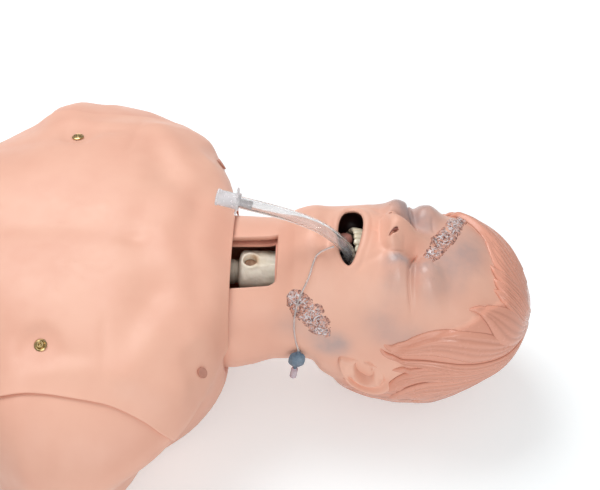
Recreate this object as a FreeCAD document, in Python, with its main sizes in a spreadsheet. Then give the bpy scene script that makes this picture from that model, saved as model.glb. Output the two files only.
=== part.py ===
import FreeCAD, Part
import math
import os

# An airway management trainer: a torso lying on its back with a tilted head, an open mouth with a
# breathing tube in it, and a window in the throat. X runs to the crown, Z is up, millimetres.
# The head's own frame (up, side, forward) is turned about Y by the head's tilt.

V = FreeCAD.Vector
doc = FreeCAD.newDocument("airway_trainer")
sheet = doc.addObject("Spreadsheet::Sheet", "Sizes")

# Driving sizes, in millimetres and degrees
SIZES = [
    ("torso_length", 484.0), ("shoulder_width", 476.0), ("chest_height", 202.0),
    ("head_reach", 292.0), ("head_width", 159.0), ("head_depth", 213.0), ("head_tilt", 19.0),
    ("neck_radius", 60.0), ("neck_height", 125.0), ("skin_wall", 5.0), ("torso_wall", 4.0),
    ("vest_wall", 2.6), ("skin_gap", 0.4), ("seat_gap", 0.2), ("hair_depth", 7.0),
    ("liner_gap", 4.0), ("liner_wall", 2.5), ("skull_wall", 3.0), ("bone_wall", 6.8),
    ("tooth_height", 9.0), ("tooth_depth", 7.0), ("bite_gap", 17.0),
    ("tube_radius", 5.75), ("tube_bore", 4.0), ("cuff_radius", 8.7), ("cuff_length", 18.0),
    ("connector_radius", 7.5), ("connector_length", 22.0), ("ear_span", 36.0),
    ("lumen_radius", 9.5), ("larynx_half", 22.0), ("larynx_rise", 18.0), ("hole_radius", 5.8),
    ("membrane_wall", 1.2), ("windpipe_radius", 10.8), ("windpipe_ridge", 1.4),
    ("gullet_radius", 8.0), ("hose_wall", 1.6), ("fork_radius", 11.0),
    ("lung_length", 190.0), ("lung_width", 100.0), ("lung_thick", 84.0),
    ("stomach_length", 76.0), ("stomach_width", 116.0), ("stomach_thick", 70.0),
    ("tray_wall", 4.0), ("plate_wall", 6.0), ("plate_width", 200.0),
    ("bracket_wall", 4.0), ("bracket_gap", 25.0), ("hinge_radius", 4.0), ("hinge_head", 7.0),
    ("post_width", 18.0), ("screw_radius", 2.5), ("screw_head", 4.5),
    ("jaw_pin_radius", 3.0), ("jaw_pin_length", 17.0), ("jaw_lug_wall", 10.0),
    ("stud_radius", 6.0), ("stud_rise", 2.4), ("plug_length", 13.0), ("plug_width", 9.5),
    ("line_radius", 0.9), ("balloon_length", 24.0), ("balloon_width", 15.0), ("balloon_thick", 7.0),
    ("valve_radius", 3.4), ("valve_length", 12.0), ("stem_radius", 1.2),
]
S = {}
for row, (alias, value) in enumerate(SIZES, 1):
    sheet.set("A%d" % row, alias)
    sheet.set("B%d" % row, str(value))
    sheet.setAlias("B%d" % row, alias)
doc.recompute()
for alias, value in SIZES:
    S[alias] = float(getattr(sheet, alias))

# Places on the drawing are given for the sizes above and follow the sheet from there
COLLAR_X = (S["torso_length"] - S["head_reach"]) / 2.0
HEAD = V(S["head_reach"] / 292.0, S["head_width"] / 159.0, S["head_depth"] / 213.0)
TORSO = V(S["torso_length"] / 484.0, S["shoulder_width"] / 476.0, S["chest_height"] / 202.0)
NECK = S["neck_radius"] / 60.0
TILT = math.radians(S["head_tilt"])
TILT_TURN = FreeCAD.Rotation(V(0, 1, 0), S["head_tilt"])


def head_at(x, y, z):
    """A place on the head, from its place on the drawing."""
    return V(COLLAR_X + (x - 96.0) * HEAD.x, y * HEAD.y, z * HEAD.z)


def torso_at(x, y, z):
    """A place on the torso, from its place on the drawing."""
    return V(COLLAR_X + (x - 96.0) * TORSO.x, y * TORSO.y, z * TORSO.z)


def neck_at(x, y, z):
    """A place in the neck, from its place on the drawing."""
    return V(COLLAR_X + (x - 96.0) * HEAD.x, y * NECK, S["neck_height"] + (z - 125.0) * NECK)


EAR_AXIS = head_at(228.0, 0.0, 111.0)


def skull_at(up, side, front):
    """A place in the head's own frame, whose origin lies midway between the ears."""
    return EAR_AXIS + TILT_TURN.multVec(V(up * HEAD.x, side * HEAD.y, front * HEAD.z))


def place_in_head(shape):
    """Turn a shape drawn in the head's own frame into its place."""
    out = shape.copy()
    out.Placement = FreeCAD.Placement(EAR_AXIS, TILT_TURN).multiply(out.Placement)
    return out


# Curves through tables
def through(table, x, column=1):
    """Value at x of a smooth curve through a table's rows that never overshoots them."""
    if x <= table[0][0]:
        return table[0][column]
    if x >= table[-1][0]:
        return table[-1][column]
    n = len(table)
    k = 0
    while k < n - 2 and x > table[k + 1][0]:
        k += 1
    step = [table[i + 1][0] - table[i][0] for i in range(n - 1)]
    rate = [(table[i + 1][column] - table[i][column]) / step[i] for i in range(n - 1)]

    def slope(i):
        if i == 0:
            return rate[0]
        if i == n - 1:
            return rate[-1]
        a, b = rate[i - 1], rate[i]
        if a * b <= 0.0:
            return 0.0
        w1 = 2.0 * step[i] + step[i - 1]
        w2 = step[i] + 2.0 * step[i - 1]
        return (w1 + w2) / (w1 / a + w2 / b)

    t = (x - table[k][0]) / step[k]
    h00 = (1.0 + 2.0 * t) * (1.0 - t) ** 2
    h10 = t * (1.0 - t) ** 2
    h01 = t * t * (3.0 - 2.0 * t)
    h11 = t * t * (t - 1.0)
    return (h00 * table[k][column] + h10 * step[k] * slope(k)
            + h01 * table[k + 1][column] + h11 * step[k] * slope(k + 1))


def hump(x, y, x0, y0, sx, sy, rise):
    """A rounded rise of a given size about a place in plan."""
    return rise * math.exp(-((x - x0) / sx) ** 2 - ((y - y0) / sy) ** 2)


def ease(t):
    """Zero to one with level ends."""
    t = min(1.0, max(0.0, t))
    return t * t * (3.0 - 2.0 * t)


def superellipse(angle, half, up, down, sharp_up, sharp_down):
    """Radius at an angle from the top of an oval with its own upper and lower halves."""
    c = math.cos(angle)
    s = abs(math.sin(angle))
    rise = up if c > 0 else down
    sharp = sharp_up if c > 0 else sharp_down
    return 1.0 / ((s / half) ** sharp + (abs(c) / rise) ** sharp) ** (1.0 / sharp)


# Skins through rings
def skin_solid(rings, angles):
    """Close a smooth skin through rings of matching points with a flat face at each end."""
    share = [a / 360.0 for a in angles] + [1.0]
    loops = []
    for ring in rings:
        loop = Part.BSplineCurve()
        loop.interpolate(Points=ring, PeriodicFlag=True, Parameters=share)
        loops.append(loop)
    along = [0.0]
    for a, b in zip(rings, rings[1:]):
        along.append(along[-1] + (b[0] - a[0]).Length + 0.5 * (b[len(b) // 2] - a[len(a) // 2]).Length)
    along = [v / along[-1] for v in along]
    rows = [loop.getPoles() for loop in loops]
    columns = []
    for j in range(len(rows[0])):
        column = Part.BSplineCurve()
        column.interpolate(Points=[row[j] for row in rows], Parameters=along)
        columns.append(column)
    count = len(columns[0].getPoles())
    poles = [[column.getPole(i + 1) for column in columns] for i in range(count)]
    skin = Part.BSplineSurface()
    skin.buildFromPolesMultsKnots(
        poles, columns[0].getMultiplicities(), loops[0].getMultiplicities(),
        columns[0].getKnots(), loops[0].getKnots(), False, True,
        columns[0].Degree, loops[0].Degree)
    ends = [Part.Face(Part.Wire([loop.toShape()])) for loop in (loops[0], loops[-1])]
    shell = Part.makeShell([skin.toShape()] + ends)
    shell.sewShape()
    solid = Part.makeSolid(shell)
    if solid.Volume < 0:
        solid.reverse()
    return solid


def mirrored(half):
    """Angles of a full turn from those of its first half, in degrees."""
    return half + [360.0 - a for a in reversed(half[1:-1])]


# The head: x, top, bottom and half width of the bare scalp on the drawing
HEAD_ROWS = [
    (60, 179, 52, 77), (96, 180, 51, 78), (118, 182, 55, 75), (136, 185, 56, 72.5),
    (148, 193, 50, 73), (158, 202, 46, 74), (172, 207, 38, 75.5), (186, 208, 26, 76.5),
    (205, 212, 14, 77.5), (222, 213, 9, 78.5), (240, 210, 7, 79), (258, 204, 7, 79.5),
    (278, 195, 7, 79.5), (292, 194, 8, 79.5), (308, 191, 11, 79), (325, 184, 20, 76),
    (343.5, 172, 36, 69), (360, 159, 52, 59), (374, 144, 72, 44), (383.5, 127, 93, 24),
    (388, 113, 106, 5),
]
HEAD_MIDDLE = [(60, 116), (96, 116), (118, 118), (136, 119), (160, 118), (200, 111), (300, 106), (388, 109)]
# How much the lower sides draw in at the nape, and swell or draw in behind the ears
NAPE_ROWS = [(118, 0), (136, 0.05), (150, 0.10), (162, 0.15), (174, 0.17), (184, 0.09), (200, 0.05),
             (216, 0.03), (236, 0), (388, 0)]
BULGE_ROWS = [(200, 0), (236, 0.02), (262, 0.055), (290, 0.05), (312, 0.0), (335, -0.03), (388, -0.03)]
# Where the hair begins, by the angle from the top, on the left and on the right side
HAIR_LEFT = [(0, 345), (28, 347), (37, 350), (44, 330), (52, 318), (57, 300), (62, 284), (68, 262),
             (78, 250), (95, 262), (110, 245), (122, 205), (150, 190), (180, 185)]
HAIR_RIGHT = [(0, 345), (24, 338), (35, 322), (45, 306), (55, 298), (62, 284), (68, 262), (78, 250),
              (95, 262), (110, 245), (122, 205), (150, 190), (180, 185)]
NOSE_ROWS = [(236, 0, 14), (241, 8, 15), (247, 20, 14.5), (254, 24, 12.5), (262, 21, 10.5),
             (272, 13, 9), (282, 6, 9), (292, 0, 10)]
MOUTH_X = 208.5
FACE_ANGLES = mirrored([0, 2.6, 5.2, 7.8, 10.5, 13.5, 17, 22, 28, 36, 46, 58, 72, 88, 104, 120,
                        136, 152, 166, 180])
PLAIN_ANGLES = mirrored([0, 12, 24, 37, 50, 64, 78, 92, 106, 120, 134, 148, 164, 180])
FACE_STEPS = [65, 82, 96, 110, 124, 136, 143, 150, 157, 165, 173, 181, 189, 197, 203, 209, 215,
              222, 230, 236, 241, 246, 251, 257, 263, 268, 274, 281, 289, 298, 308, 319, 330,
              341, 351, 360, 368, 375, 381, 385.5, 388]
PLAIN_STEPS = [60, 90, 118, 136, 148, 160, 176, 196, 220, 245, 270, 292, 312, 330, 346, 360, 371,
               380]


def nose(x, y):
    """Height of the nose over the face: a ridge with two wings."""
    rise = through(NOSE_ROWS, x, 1)
    wide = through(NOSE_ROWS, x, 2)
    out = rise * math.exp(-(abs(y) / wide) ** 2.6)
    for side in (-1, 1):
        out += hump(x, y, 248, side * 15, 8, 6.5, 7)
    return out


def face(x, y):
    """Height of the features over the plain form of the head."""
    out = nose(x, y)
    for side in (-1, 1):
        out += hump(x, y, 256, side * 42, 15, 20, 11)
        out += hump(x, y, 283, side * 44, 14, 20, 12.5)
        out -= hump(x, y, 269, side * 38, 4.5, 22, 6.0)
        out -= hump(x, y, 268, side * 19, 8, 6, 3.0)
        out -= hump(x, y, 205, side * 54, 26, 14, 2.5)
        out += hump(x, y, 176, side * 36, 14, 16, 4.0)
    out += hump(x, y, 172, 0, 12, 20, 4.0)
    out -= hump(x, y, 188, 0, 6, 22, 2.0)
    out += hump(x, y, 225, 0, 8, 30, 2.0) + hump(x, y, 193, 0, 7, 26, 1.6)
    return out


def head_ring(x, angles, grow, dressed):
    """Points around the head at x, moved out by grow, with face and hair where dressed."""
    top, bottom, half = (through(HEAD_ROWS, x, c) for c in (1, 2, 3))
    middle = through(HEAD_MIDDLE, x)
    ring = []
    for degrees in angles:
        angle = math.radians(degrees)
        near = min(degrees, 360.0 - degrees)
        radius = superellipse(angle, half, top - middle, middle - bottom, 2.25, 2.15)
        radius *= (1.0 - through(NAPE_ROWS, x) * ease((0.25 - math.cos(angle)) / 0.9)
                   + through(BULGE_ROWS, x) * math.exp(-((near - 132.0) / 30.0) ** 2))
        hair = ease((x - through(HAIR_LEFT if degrees > 180.0 else HAIR_RIGHT, near)) / 12.0)
        radius += S["hair_depth"] * hair if dressed else 0.0
        side = radius * math.sin(angle)
        high = middle + radius * math.cos(angle)
        if dressed:
            high += ease((math.cos(angle) - 0.15) / 0.35) * face(x, side)
        place = head_at(x, side, high) if x > 140 else neck_at(x, side, high)
        blend = ease((x - 124.0) / 32.0)
        place = neck_at(x, side, high) * (1.0 - blend) + head_at(x, side, high) * blend
        centre = neck_at(x, 0, middle) * (1.0 - blend) + head_at(x, 0, middle) * blend
        out = place - centre
        ring.append(place + out * (grow / max(out.Length, 1.0)))
    return ring


def head_solid(grow=0.0, dressed=False):
    """The whole head and neck as a solid, moved out by grow."""
    steps = FACE_STEPS if dressed else PLAIN_STEPS
    angles = FACE_ANGLES if dressed else PLAIN_ANGLES
    rings = []
    for x in steps:
        rings.append(head_ring(x, angles, grow, dressed))
        if grow:
            pull = ease((x - 300.0) / 88.0) * grow
            rings[-1] = [V(p.x + pull, p.y, p.z) for p in rings[-1]]
    return skin_solid(rings, angles)


# The torso: x, half width, top, bottom, middle
TORSO_ROWS = [
    (-388, 146, 160, -4, 80), (-378, 150, 165, -4, 81), (-320, 153, 172, -4, 84),
    (-240, 158, 182, -4, 88), (-170, 164, 192, -4, 91), (-125, 174, 197, -4, 92),
    (-95, 202, 199, -4, 93), (-70, 228, 200, -4, 94), (-40, 238, 201, -4, 95),
    (-10, 236, 202, -4, 96), (20, 222, 200, -4, 97), (46, 200, 196, -1, 99),
    (60, 180, 194, 8, 103), (72, 154, 191, 22, 108), (84, 120, 187, 38, 113),
    (90, 98, 184.5, 45, 115), (96, 80, 182, 49, 116),
]
TORSO_STEPS = [-388, -379, -350, -310, -260, -210, -170, -145, -125, -108, -92, -75, -55, -35,
               -12, 8, 26, 40, 52, 62, 72, 81, 88, 93, 96]
TORSO_ANGLES = mirrored([0, 7, 15, 24, 33, 43, 54, 66, 78, 90, 103, 117, 131, 146, 163, 180])
BONE_LINE = [(0, 30), (60, 48), (120, 30), (185, -6)]


def chest(x, y):
    """Height of the chest's muscles, breastbone and collar bones."""
    fade = ease((86.0 - x) / 30.0)
    out = -4.0 * math.exp(-(y / 13.0) ** 2) * ease((10.0 - x) / 60.0) * ease((x + 300.0) / 120.0)
    for side in (-1, 1):
        out += hump(x, y, -105, side * 82, 70, 62, 7.5)
        out -= hump(x, y, -188, side * 78, 26, 60, 3.0)
    line = through(BONE_LINE, abs(y))
    out += 3.6 * math.exp(-((x - line) / 11.0) ** 2) * ease((185.0 - abs(y)) / 60.0)
    out -= 3.0 * math.exp(-((x - line + 26.0) / 14.0) ** 2) * ease((170.0 - abs(y)) / 70.0)
    return out * fade


def torso_place(x, angle, grow=0.0):
    """A point on the torso's skin at x and an angle from its top."""
    half, top, bottom, middle = (through(TORSO_ROWS, x, c) for c in (1, 2, 3, 4))
    lower_power = 3.2 - 0.95 * ease((x - 40.0) / 56.0)
    radius = superellipse(angle, half, top - middle, middle - bottom, 2.35, lower_power)
    side = radius * math.sin(angle)
    high = middle + radius * math.cos(angle) + ease((math.cos(angle) - 0.1) / 0.4) * chest(x, side)
    blend = ease((x - 60.0) / 36.0)
    place = torso_at(x, side, high) * (1.0 - blend) + neck_at(x, side, high) * blend
    centre = torso_at(x, 0, middle) * (1.0 - blend) + neck_at(x, 0, middle) * blend
    out = place - centre
    lean = V(0.0, out.y, out.z)
    if x > 20:
        lean = lean + V(out.Length * 1.2 * ease((x - 20.0) / 40.0) * ease((110 - x) / 30.0), 0, 0)
    return place + lean * (grow / max(lean.Length, 1.0))


def torso_solid(grow=0.0):
    """The whole torso as a solid, moved out by grow."""
    rings = [[torso_place(x, math.radians(a), grow) for a in TORSO_ANGLES] for x in TORSO_STEPS]
    first = [V(rings[0][0].x - grow, p.y, p.z) for p in rings[0]]
    last_x = max(p.x for p in rings[-1])
    last = [V(last_x, p.y, p.z) for p in rings[-1]]
    return skin_solid([first] + rings[1:-1] + [last], TORSO_ANGLES)


def block(low, high):
    """A box between two corners."""
    return Part.makeBox(high.x - low.x, high.y - low.y, high.z - low.z, low)


def slab(up_low, up_high, front_low=-140.0, front_high=150.0, side=110.0):
    """A box in the head's own frame, put in its place."""
    low = V(up_low * HEAD.x, -side * HEAD.y, front_low * HEAD.z)
    high = V(up_high * HEAD.x, side * HEAD.y, front_high * HEAD.z)
    return place_in_head(block(low, high))


def outline(points, z_low, z_high):
    """A prism with a smooth closed outline in plan."""
    curve = Part.BSplineCurve()
    curve.interpolate(Points=[V(p.x, p.y, z_low) for p in points], PeriodicFlag=True)
    return Part.Face(Part.Wire([curve.toShape()])).extrude(V(0, 0, z_high - z_low))


def polygon(points, move):
    """A prism with a straight-sided outline."""
    return Part.Face(Part.makePolygon(points + [points[0]])).extrude(move)


def rod(start, end, radius):
    """A round bar between two points."""
    return Part.makeCylinder(radius, (end - start).Length, start, end - start)


def bent_bar(route, radius):
    """A round bar of straight runs joined by arcs that touch them."""
    runs = [(b - a) for a, b in zip(route, route[1:])]
    cuts = [0.0]
    bends = []
    for i in range(1, len(route) - 1):
        before, after = runs[i - 1], runs[i]
        turn = before.getAngle(after)
        cut = 0.45 * min(before.Length, after.Length)
        bends.append(cut / math.tan(turn / 2.0))
        cuts.append(cut)
    cuts.append(0.0)
    edges = []
    at = route[0]
    for i in range(1, len(route)):
        unit = V(runs[i - 1]).normalize()
        stop = route[i] - unit * cuts[i]
        edges.append(Part.makeLine(at, stop))
        if i < len(route) - 1:
            after = V(runs[i]).normalize()
            start = route[i] + after * cuts[i]
            pull = (unit * -1.0 + after).normalize()
            reach = math.sqrt(bends[i - 1] ** 2 + cuts[i] ** 2)
            middle = route[i] + pull * (reach - bends[i - 1])
            edges.append(Part.Arc(stop, middle, start).toShape())
            at = start
    path = Part.Wire(edges)
    ring = Part.Wire([Part.Circle(route[0], runs[0], radius).toShape()])
    solid = path.makePipeShell([ring], True, False)
    return solid, path.Length, bends


def bent_hose(route, radius, wall):
    """A hollow bent bar."""
    outer, length, bends = bent_bar(route, radius)
    inner = bent_bar(route, radius - wall)[0]
    return outer.cut(inner), length, bends


def turned(points):
    """A solid of revolution about Z from (radius, height) points."""
    wire = Part.makePolygon([V(r, 0, h) for r, h in points + [points[0]]])
    return Part.Face(wire).revolve(V(0, 0, 0), V(0, 0, 1), 360)


PILLOW_ANGLES = [i * 22.5 for i in range(16)]


def pillow(centre, half, sharp=2.6, count=11, roundness=2.4):
    """A soft bag lying along X with rounded ends."""
    rings = []
    for i in range(count):
        t = -math.cos(math.pi * (0.04 + 0.92 * i / (count - 1)))
        size = (1.0 - abs(t) ** roundness) ** 0.5
        ring = []
        for degrees in PILLOW_ANGLES:
            angle = math.radians(degrees)
            radius = superellipse(angle, half.y * size, half.z * size, half.z * size, sharp, sharp)
            ring.append(centre + V(half.x * t, radius * math.sin(angle), radius * math.cos(angle)))
        rings.append(ring)
    return skin_solid(rings, PILLOW_ANGLES)


NODES = []


def keep(name, shape, place=None, turn=None):
    """Make a named sub-part of a shape, at its own place."""
    part = doc.addObject("Part::Feature", name)
    part.Label = name
    part.Shape = shape
    if place is not None:
        part.Placement = FreeCAD.Placement(place, turn or FreeCAD.Rotation())
    NODES.append(part)
    return part


def feature(kind, name, place=None, turn=None, **sizes):
    """Make a primitive whose sizes are tied to the sheet."""
    part = doc.addObject(kind, name)
    for size, rule in sizes.items():
        part.setExpression(size, rule)
    part.Placement = FreeCAD.Placement(place or V(0, 0, 0), turn or FreeCAD.Rotation())
    return part


def node(part, label):
    """Count a feature as a sub-part under its own label."""
    part.Label = label
    NODES.append(part)
    return part


def joined(kind, name, pieces):
    """A cut, fusion or overlap of features."""
    part = doc.addObject(kind, name)
    if kind == "Part::Cut":
        part.Base = pieces[0]
        part.Tool = pieces[1]
    else:
        part.Shapes = pieces
    return part


ALONG_Y = FreeCAD.Rotation(V(1, 0, 0), -90)
ALONG_X = FreeCAD.Rotation(V(0, 1, 0), 90)

# Torso shell: a moulded hollow body with a flat back and a notched neck opening
outer_torso = torso_solid()
cavity = torso_solid(-S["torso_wall"])
floor_cut = block(V(-500, -300, -40), V(300, 300, 0))
cavity = cavity.cut(block(V(-500, -300, -40), V(300, 300, S["torso_wall"])))
torso = outer_torso.cut(floor_cut).cut(cavity)
HINGE = neck_at(80, 0, 95)
neck_loop = Part.BSplineCurve()
neck_loop.interpolate(Points=head_ring(96, PLAIN_ANGLES, 4.0, False), PeriodicFlag=True)
passage = Part.Face(Part.Wire([neck_loop.toShape()]))
passage.translate(V(neck_at(20, 0, 0).x - COLLAR_X, 0, 0))
torso = torso.cut(passage.extrude(V(120 * HEAD.x, 0, 0)))
solids = sorted(torso.Solids, key=lambda s: -s.Volume)
keep("torso_shell", solids[0])

# Chest skin: a loose sheet over the torso inside a smooth outline
VEST = [(99, 0), (99, -40), (98, -78), (88, -112), (77, -139), (65, -168), (56, -184), (46, -189.5),
        (30, -187), (-2, -180), (-49, -172), (-110, -160), (-200, -152), (-300, -144), (-338, -132),
        (-350, -95), (-352, 0)]
edge = [torso_at(x, y, 0) for x, y in VEST] + [torso_at(x, -y, 0) for x, y in reversed(VEST[1:-1])]
vest_prism = outline(edge, 70.0 * TORSO.z, 240.0 * TORSO.z)
vest_prism = vest_prism.common(block(V(-500, -300, 0), V(COLLAR_X - 1.0, 300, 260 * TORSO.z)))
vest = vest_prism.common(torso_solid(S["skin_gap"] + S["vest_wall"])).cut(torso_solid(S["skin_gap"]))
keep("chest_skin", sorted(vest.Solids, key=lambda s: -s.Volume)[0])


def on_torso(x, y, lift):
    """The place and outward direction over a point of the torso in plan."""
    low, high = 0.0, math.pi / 2.0
    for _ in range(40):
        mid = (low + high) / 2.0
        if abs(torso_place(x, mid).y) < abs(y) * TORSO.y:
            low = mid
        else:
            high = mid
    angle = low if y > 0 else -low
    here = torso_place(x, angle)
    along = torso_place(x + 1.0, angle) - here
    across = torso_place(x, angle + 0.01) - here
    up = along.cross(across) * (1.0 if along.cross(across).z > 0 else -1.0)
    up.normalize()
    return here + up * lift, FreeCAD.Rotation(V(0, 0, 1), up)


VEST_TOP = S["skin_gap"] + S["vest_wall"]
stud_shape = turned([(0, 0), (S["stud_radius"], 0), (S["stud_radius"], 0.9), (S["stud_radius"] - 1.2, 1.7),
                     (S["stud_radius"] - 2.4, 1.1), (S["stud_radius"] - 3.0, S["stud_rise"]),
                     (S["stud_radius"] - 4.2, S["stud_rise"]), (S["stud_radius"] - 4.8, 1.2), (0, 1.2)])
studs = []
for x, y in ((-68, 131), (-68, -131), (-300, 120), (-300, -120)):
    place, turn = on_torso(x, y, VEST_TOP + S["seat_gap"])
    stud = stud_shape.copy()
    stud.Placement = FreeCAD.Placement(place, turn)
    studs.append(stud)
keep("press_studs", Part.makeCompound(studs))

plug_shape = Part.makeCylinder(S["plug_width"] / 2.0, 1.6)
stretch = FreeCAD.Matrix()
stretch.scale(S["plug_length"] / S["plug_width"], 1.0, 1.0)
plug_shape = plug_shape.transformGeometry(stretch)
plugs = []
for side in (-1, 1):
    place, turn = on_torso(73, side * 131, VEST_TOP + S["seat_gap"])
    plug = plug_shape.copy()
    plug.Placement = FreeCAD.Placement(place, turn)
    plugs.append(plug)
keep("shoulder_plugs", Part.makeCompound(plugs))

# Head skin: one soft moulding of face, hair, ears and neck
mouth_edge = [(208, 29), (203.5, 26), (199.5, 18), (197.5, 8), (197, -4), (197, -14), (198.8, -24),
              (202.5, -32), (207.5, -36), (211.5, -32.5), (215, -23), (218, -12), (220, 0), (220.5, 10),
              (218.5, 20), (214, 27.5)]


def mouth_points():
    """The outline of the open lips in plan."""
    return [head_at(x, y, 0) for x, y in mouth_edge]


def ear(side):
    """One outer ear as a rounded plate with a hollow, leaning back."""
    body = pillow(V(0, 0, 0), V(32.0 * HEAD.x, 9.5 * HEAD.y, 19.0 * HEAD.z), 2.0, 9, 2.0)
    bowl_size = V(15.0 * HEAD.x, 7.0 * HEAD.y, 10.0 * HEAD.z)
    bowl = pillow(V(-2.0, side * 9.0 * HEAD.y, 3.0), bowl_size, 2.0, 7, 2.0)
    body = body.cut(bowl)
    turn = FreeCAD.Rotation(V(0, 1, 0), 40).multiply(FreeCAD.Rotation(V(0, 0, 1), side * -8))
    body.Placement = FreeCAD.Placement(head_at(225, side * 77, 96), turn)
    return body


head = head_solid(0.0, True)
hollow = head_solid(-S["skin_wall"])
ears = [ear(-1).cut(hollow), ear(1).cut(hollow)]
head = head.cut(hollow)
mouth = outline(mouth_points(), 165 * HEAD.z, 240 * HEAD.z)
head = head.cut(mouth)
WINDOW = [(90, 16), (139, 14.5), (139.5, -36), (137, -39.5), (133, -41), (90, -43)]


def window_prism(margin_x, margin_y):
    """The opening over the voice box, as a prism, grown by its margins."""
    points = [neck_at(x, y, 155) + V(margin_x if x > 120 else 0, margin_y if y > 0 else -margin_y, 0)
              for x, y in WINDOW]
    return polygon(points, V(0, 0, 60 * NECK))


head = head.cut(window_prism(0, 0))
for side in (-1, 1):
    nostril = Part.makeCylinder(1.0, 16.0)
    shape = FreeCAD.Matrix()
    shape.scale(2.0, 5.5, 1.0)
    nostril = nostril.transformGeometry(shape)
    turn = FreeCAD.Rotation(V(0, 1, 0), 52).multiply(FreeCAD.Rotation(V(0, 0, 1), side * 24))
    nostril.Placement = FreeCAD.Placement(head_at(236, side * 9.0, 216), turn)
    head = head.cut(nostril)
head = head.fuse(ears[0]).fuse(ears[1])
keep("head_skin", sorted(head.Solids, key=lambda s: -s.Volume)[0])

# Skull, its base with the jaw lugs, and the upper jaw
inner_head = head_solid(-S["skin_wall"] - 0.3)
skull_in = head_solid(-S["skin_wall"] - 0.3 - S["skull_wall"])
keep("skull", inner_head.cut(skull_in).common(slab(12, 200)).Solids[0])
JAW_UP = 0.0
JAW_FRONT = 12.0
JAW_SIDE = 60.5
base = inner_head.common(slab(8, 12))
lugs = []
for side in (-1, 1):
    outer_y = side * JAW_SIDE * HEAD.y
    inner_y = side * (JAW_SIDE * HEAD.y - S["jaw_lug_wall"])
    lug = block(V(-7.0, min(outer_y, inner_y), JAW_FRONT * HEAD.z - 7.0),
                V(8.0 * HEAD.x, max(outer_y, inner_y), JAW_FRONT * HEAD.z + 7.0))
    bore_start = V(0, min(outer_y, inner_y) - 20, JAW_FRONT * HEAD.z)
    bore = Part.makeCylinder(S["jaw_pin_radius"], 60, bore_start, V(0, 1, 0))
    lugs.append(place_in_head(lug.cut(bore)))
base = base.fuse(lugs[0]).fuse(lugs[1])
keep("skull_base", base.Solids[0])


def arch(up_low, up_high, half, front, depth, thick, rear=30.0):
    """A row of teeth or its ridge: part of an oval ring, open to the back, in the head's frame."""
    rise = (up_high - up_low) * HEAD.x
    centre = V(up_low * HEAD.x, 0, (front - depth) * HEAD.z)
    rings = []
    for cut in (0.0, thick):
        points = []
        for i in range(24):
            angle = 2.0 * math.pi * i / 24.0
            points.append(centre + V(0, (half * HEAD.y - cut) * math.sin(angle),
                                     (depth * HEAD.z - cut) * math.cos(angle)))
        loop = Part.BSplineCurve()
        loop.interpolate(Points=points, PeriodicFlag=True)
        rings.append(Part.Face(Part.Wire([loop.toShape()])).extrude(V(rise, 0, 0)))
    ring = rings[0].cut(rings[1])
    keep_front = block(V(-200, -100, rear * HEAD.z), V(200, 100, 200))
    return ring.common(keep_front)


def tooth_row(up_low, up_high, half, front):
    """An arch of teeth with a groove between each two."""
    row = arch(up_low, up_high, half, front, 45.0, S["tooth_depth"])
    for i in range(-6, 7):
        angle = i * math.radians(12.0)
        spot = V(0, half * HEAD.y * math.sin(angle), (front - 45.0 + 45.0 * math.cos(angle)) * HEAD.z)
        cut = block(V(up_low * HEAD.x - 1, -0.35, -1.3), V(up_high * HEAD.x + 1, 0.35, 2.0))
        cut.Placement = FreeCAD.Placement(spot, FreeCAD.Rotation(V(1, 0, 0), -math.degrees(angle)))
        row = row.cut(cut)
    return place_in_head(row.Solids[0])


UPPER_EDGE = -40.0
UPPER_GUM = UPPER_EDGE + S["tooth_height"]
LOWER_EDGE = UPPER_EDGE - S["bite_gap"]
LOWER_GUM = LOWER_EDGE - S["tooth_height"]
keep("upper_teeth", tooth_row(UPPER_EDGE, UPPER_GUM, 29.5, 80.0))
keep("lower_teeth", tooth_row(LOWER_GUM, LOWER_EDGE, 28.5, 74.5))


def oval(up, half, front_middle, depth, count=20):
    """Ring of points in the head's own frame, level across it."""
    return [V(up * HEAD.x, half * HEAD.y * math.sin(2 * math.pi * i / count),
              (front_middle + depth * math.cos(2 * math.pi * i / count)) * HEAD.z) for i in range(count)]


OVAL_ANGLES = [360.0 * i / 20 for i in range(20)]
upper = skin_solid([oval(UPPER_GUM, 30.5, 33, 48.5), oval(-20, 32, 35, 48), oval(-6, 34, 37, 46),
                    oval(8, 36, 39, 44)], OVAL_ANGLES)
upper = upper.common(block(V(-200, -100, 26 * HEAD.z), V(200, 100, 200)))
vault_size = V(9.0 * HEAD.x, 20.0 * HEAD.y, 32.0 * HEAD.z)
vault = pillow(V(UPPER_GUM * HEAD.x, 0, 42 * HEAD.z), vault_size, 2.0, 8, 2.0)
keep("upper_jaw", place_in_head(upper.cut(vault).Solids[0]))

# Lower jaw: the band under the cheeks inside a jaw bone's side view, with a floor and a tooth ridge
jaw_side = [(-92, 48), (-92, 80), (LOWER_GUM, 92), (LOWER_GUM, 30), (-50, 17), (-10, 20), (0, 19), (5, 17),
            (7, 12), (5, 7), (0, 5), (-8, 4), (-58, -6), (-74, 2)]
side_prism = place_in_head(polygon([V(u * HEAD.x, -110 * HEAD.y, f * HEAD.z) for u, f in jaw_side],
                                   V(0, 220 * HEAD.y, 0)))
band = head_solid(-S["skin_wall"] - 1.2).cut(head_solid(-S["skin_wall"] - 1.2 - S["bone_wall"]))
jaw = band.common(side_prism)
jaw_floor = head_solid(-S["skin_wall"] - 2.0).common(slab(-84, -79, 32)).common(side_prism)
ridge = place_in_head(arch(-80, LOWER_GUM, 29.5, 75.5, 45.0, S["tooth_depth"] + 2.0, 33.0))
jaw = jaw.fuse(jaw_floor).fuse(ridge.common(head_solid(-S["skin_wall"] - 1.6)))
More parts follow.
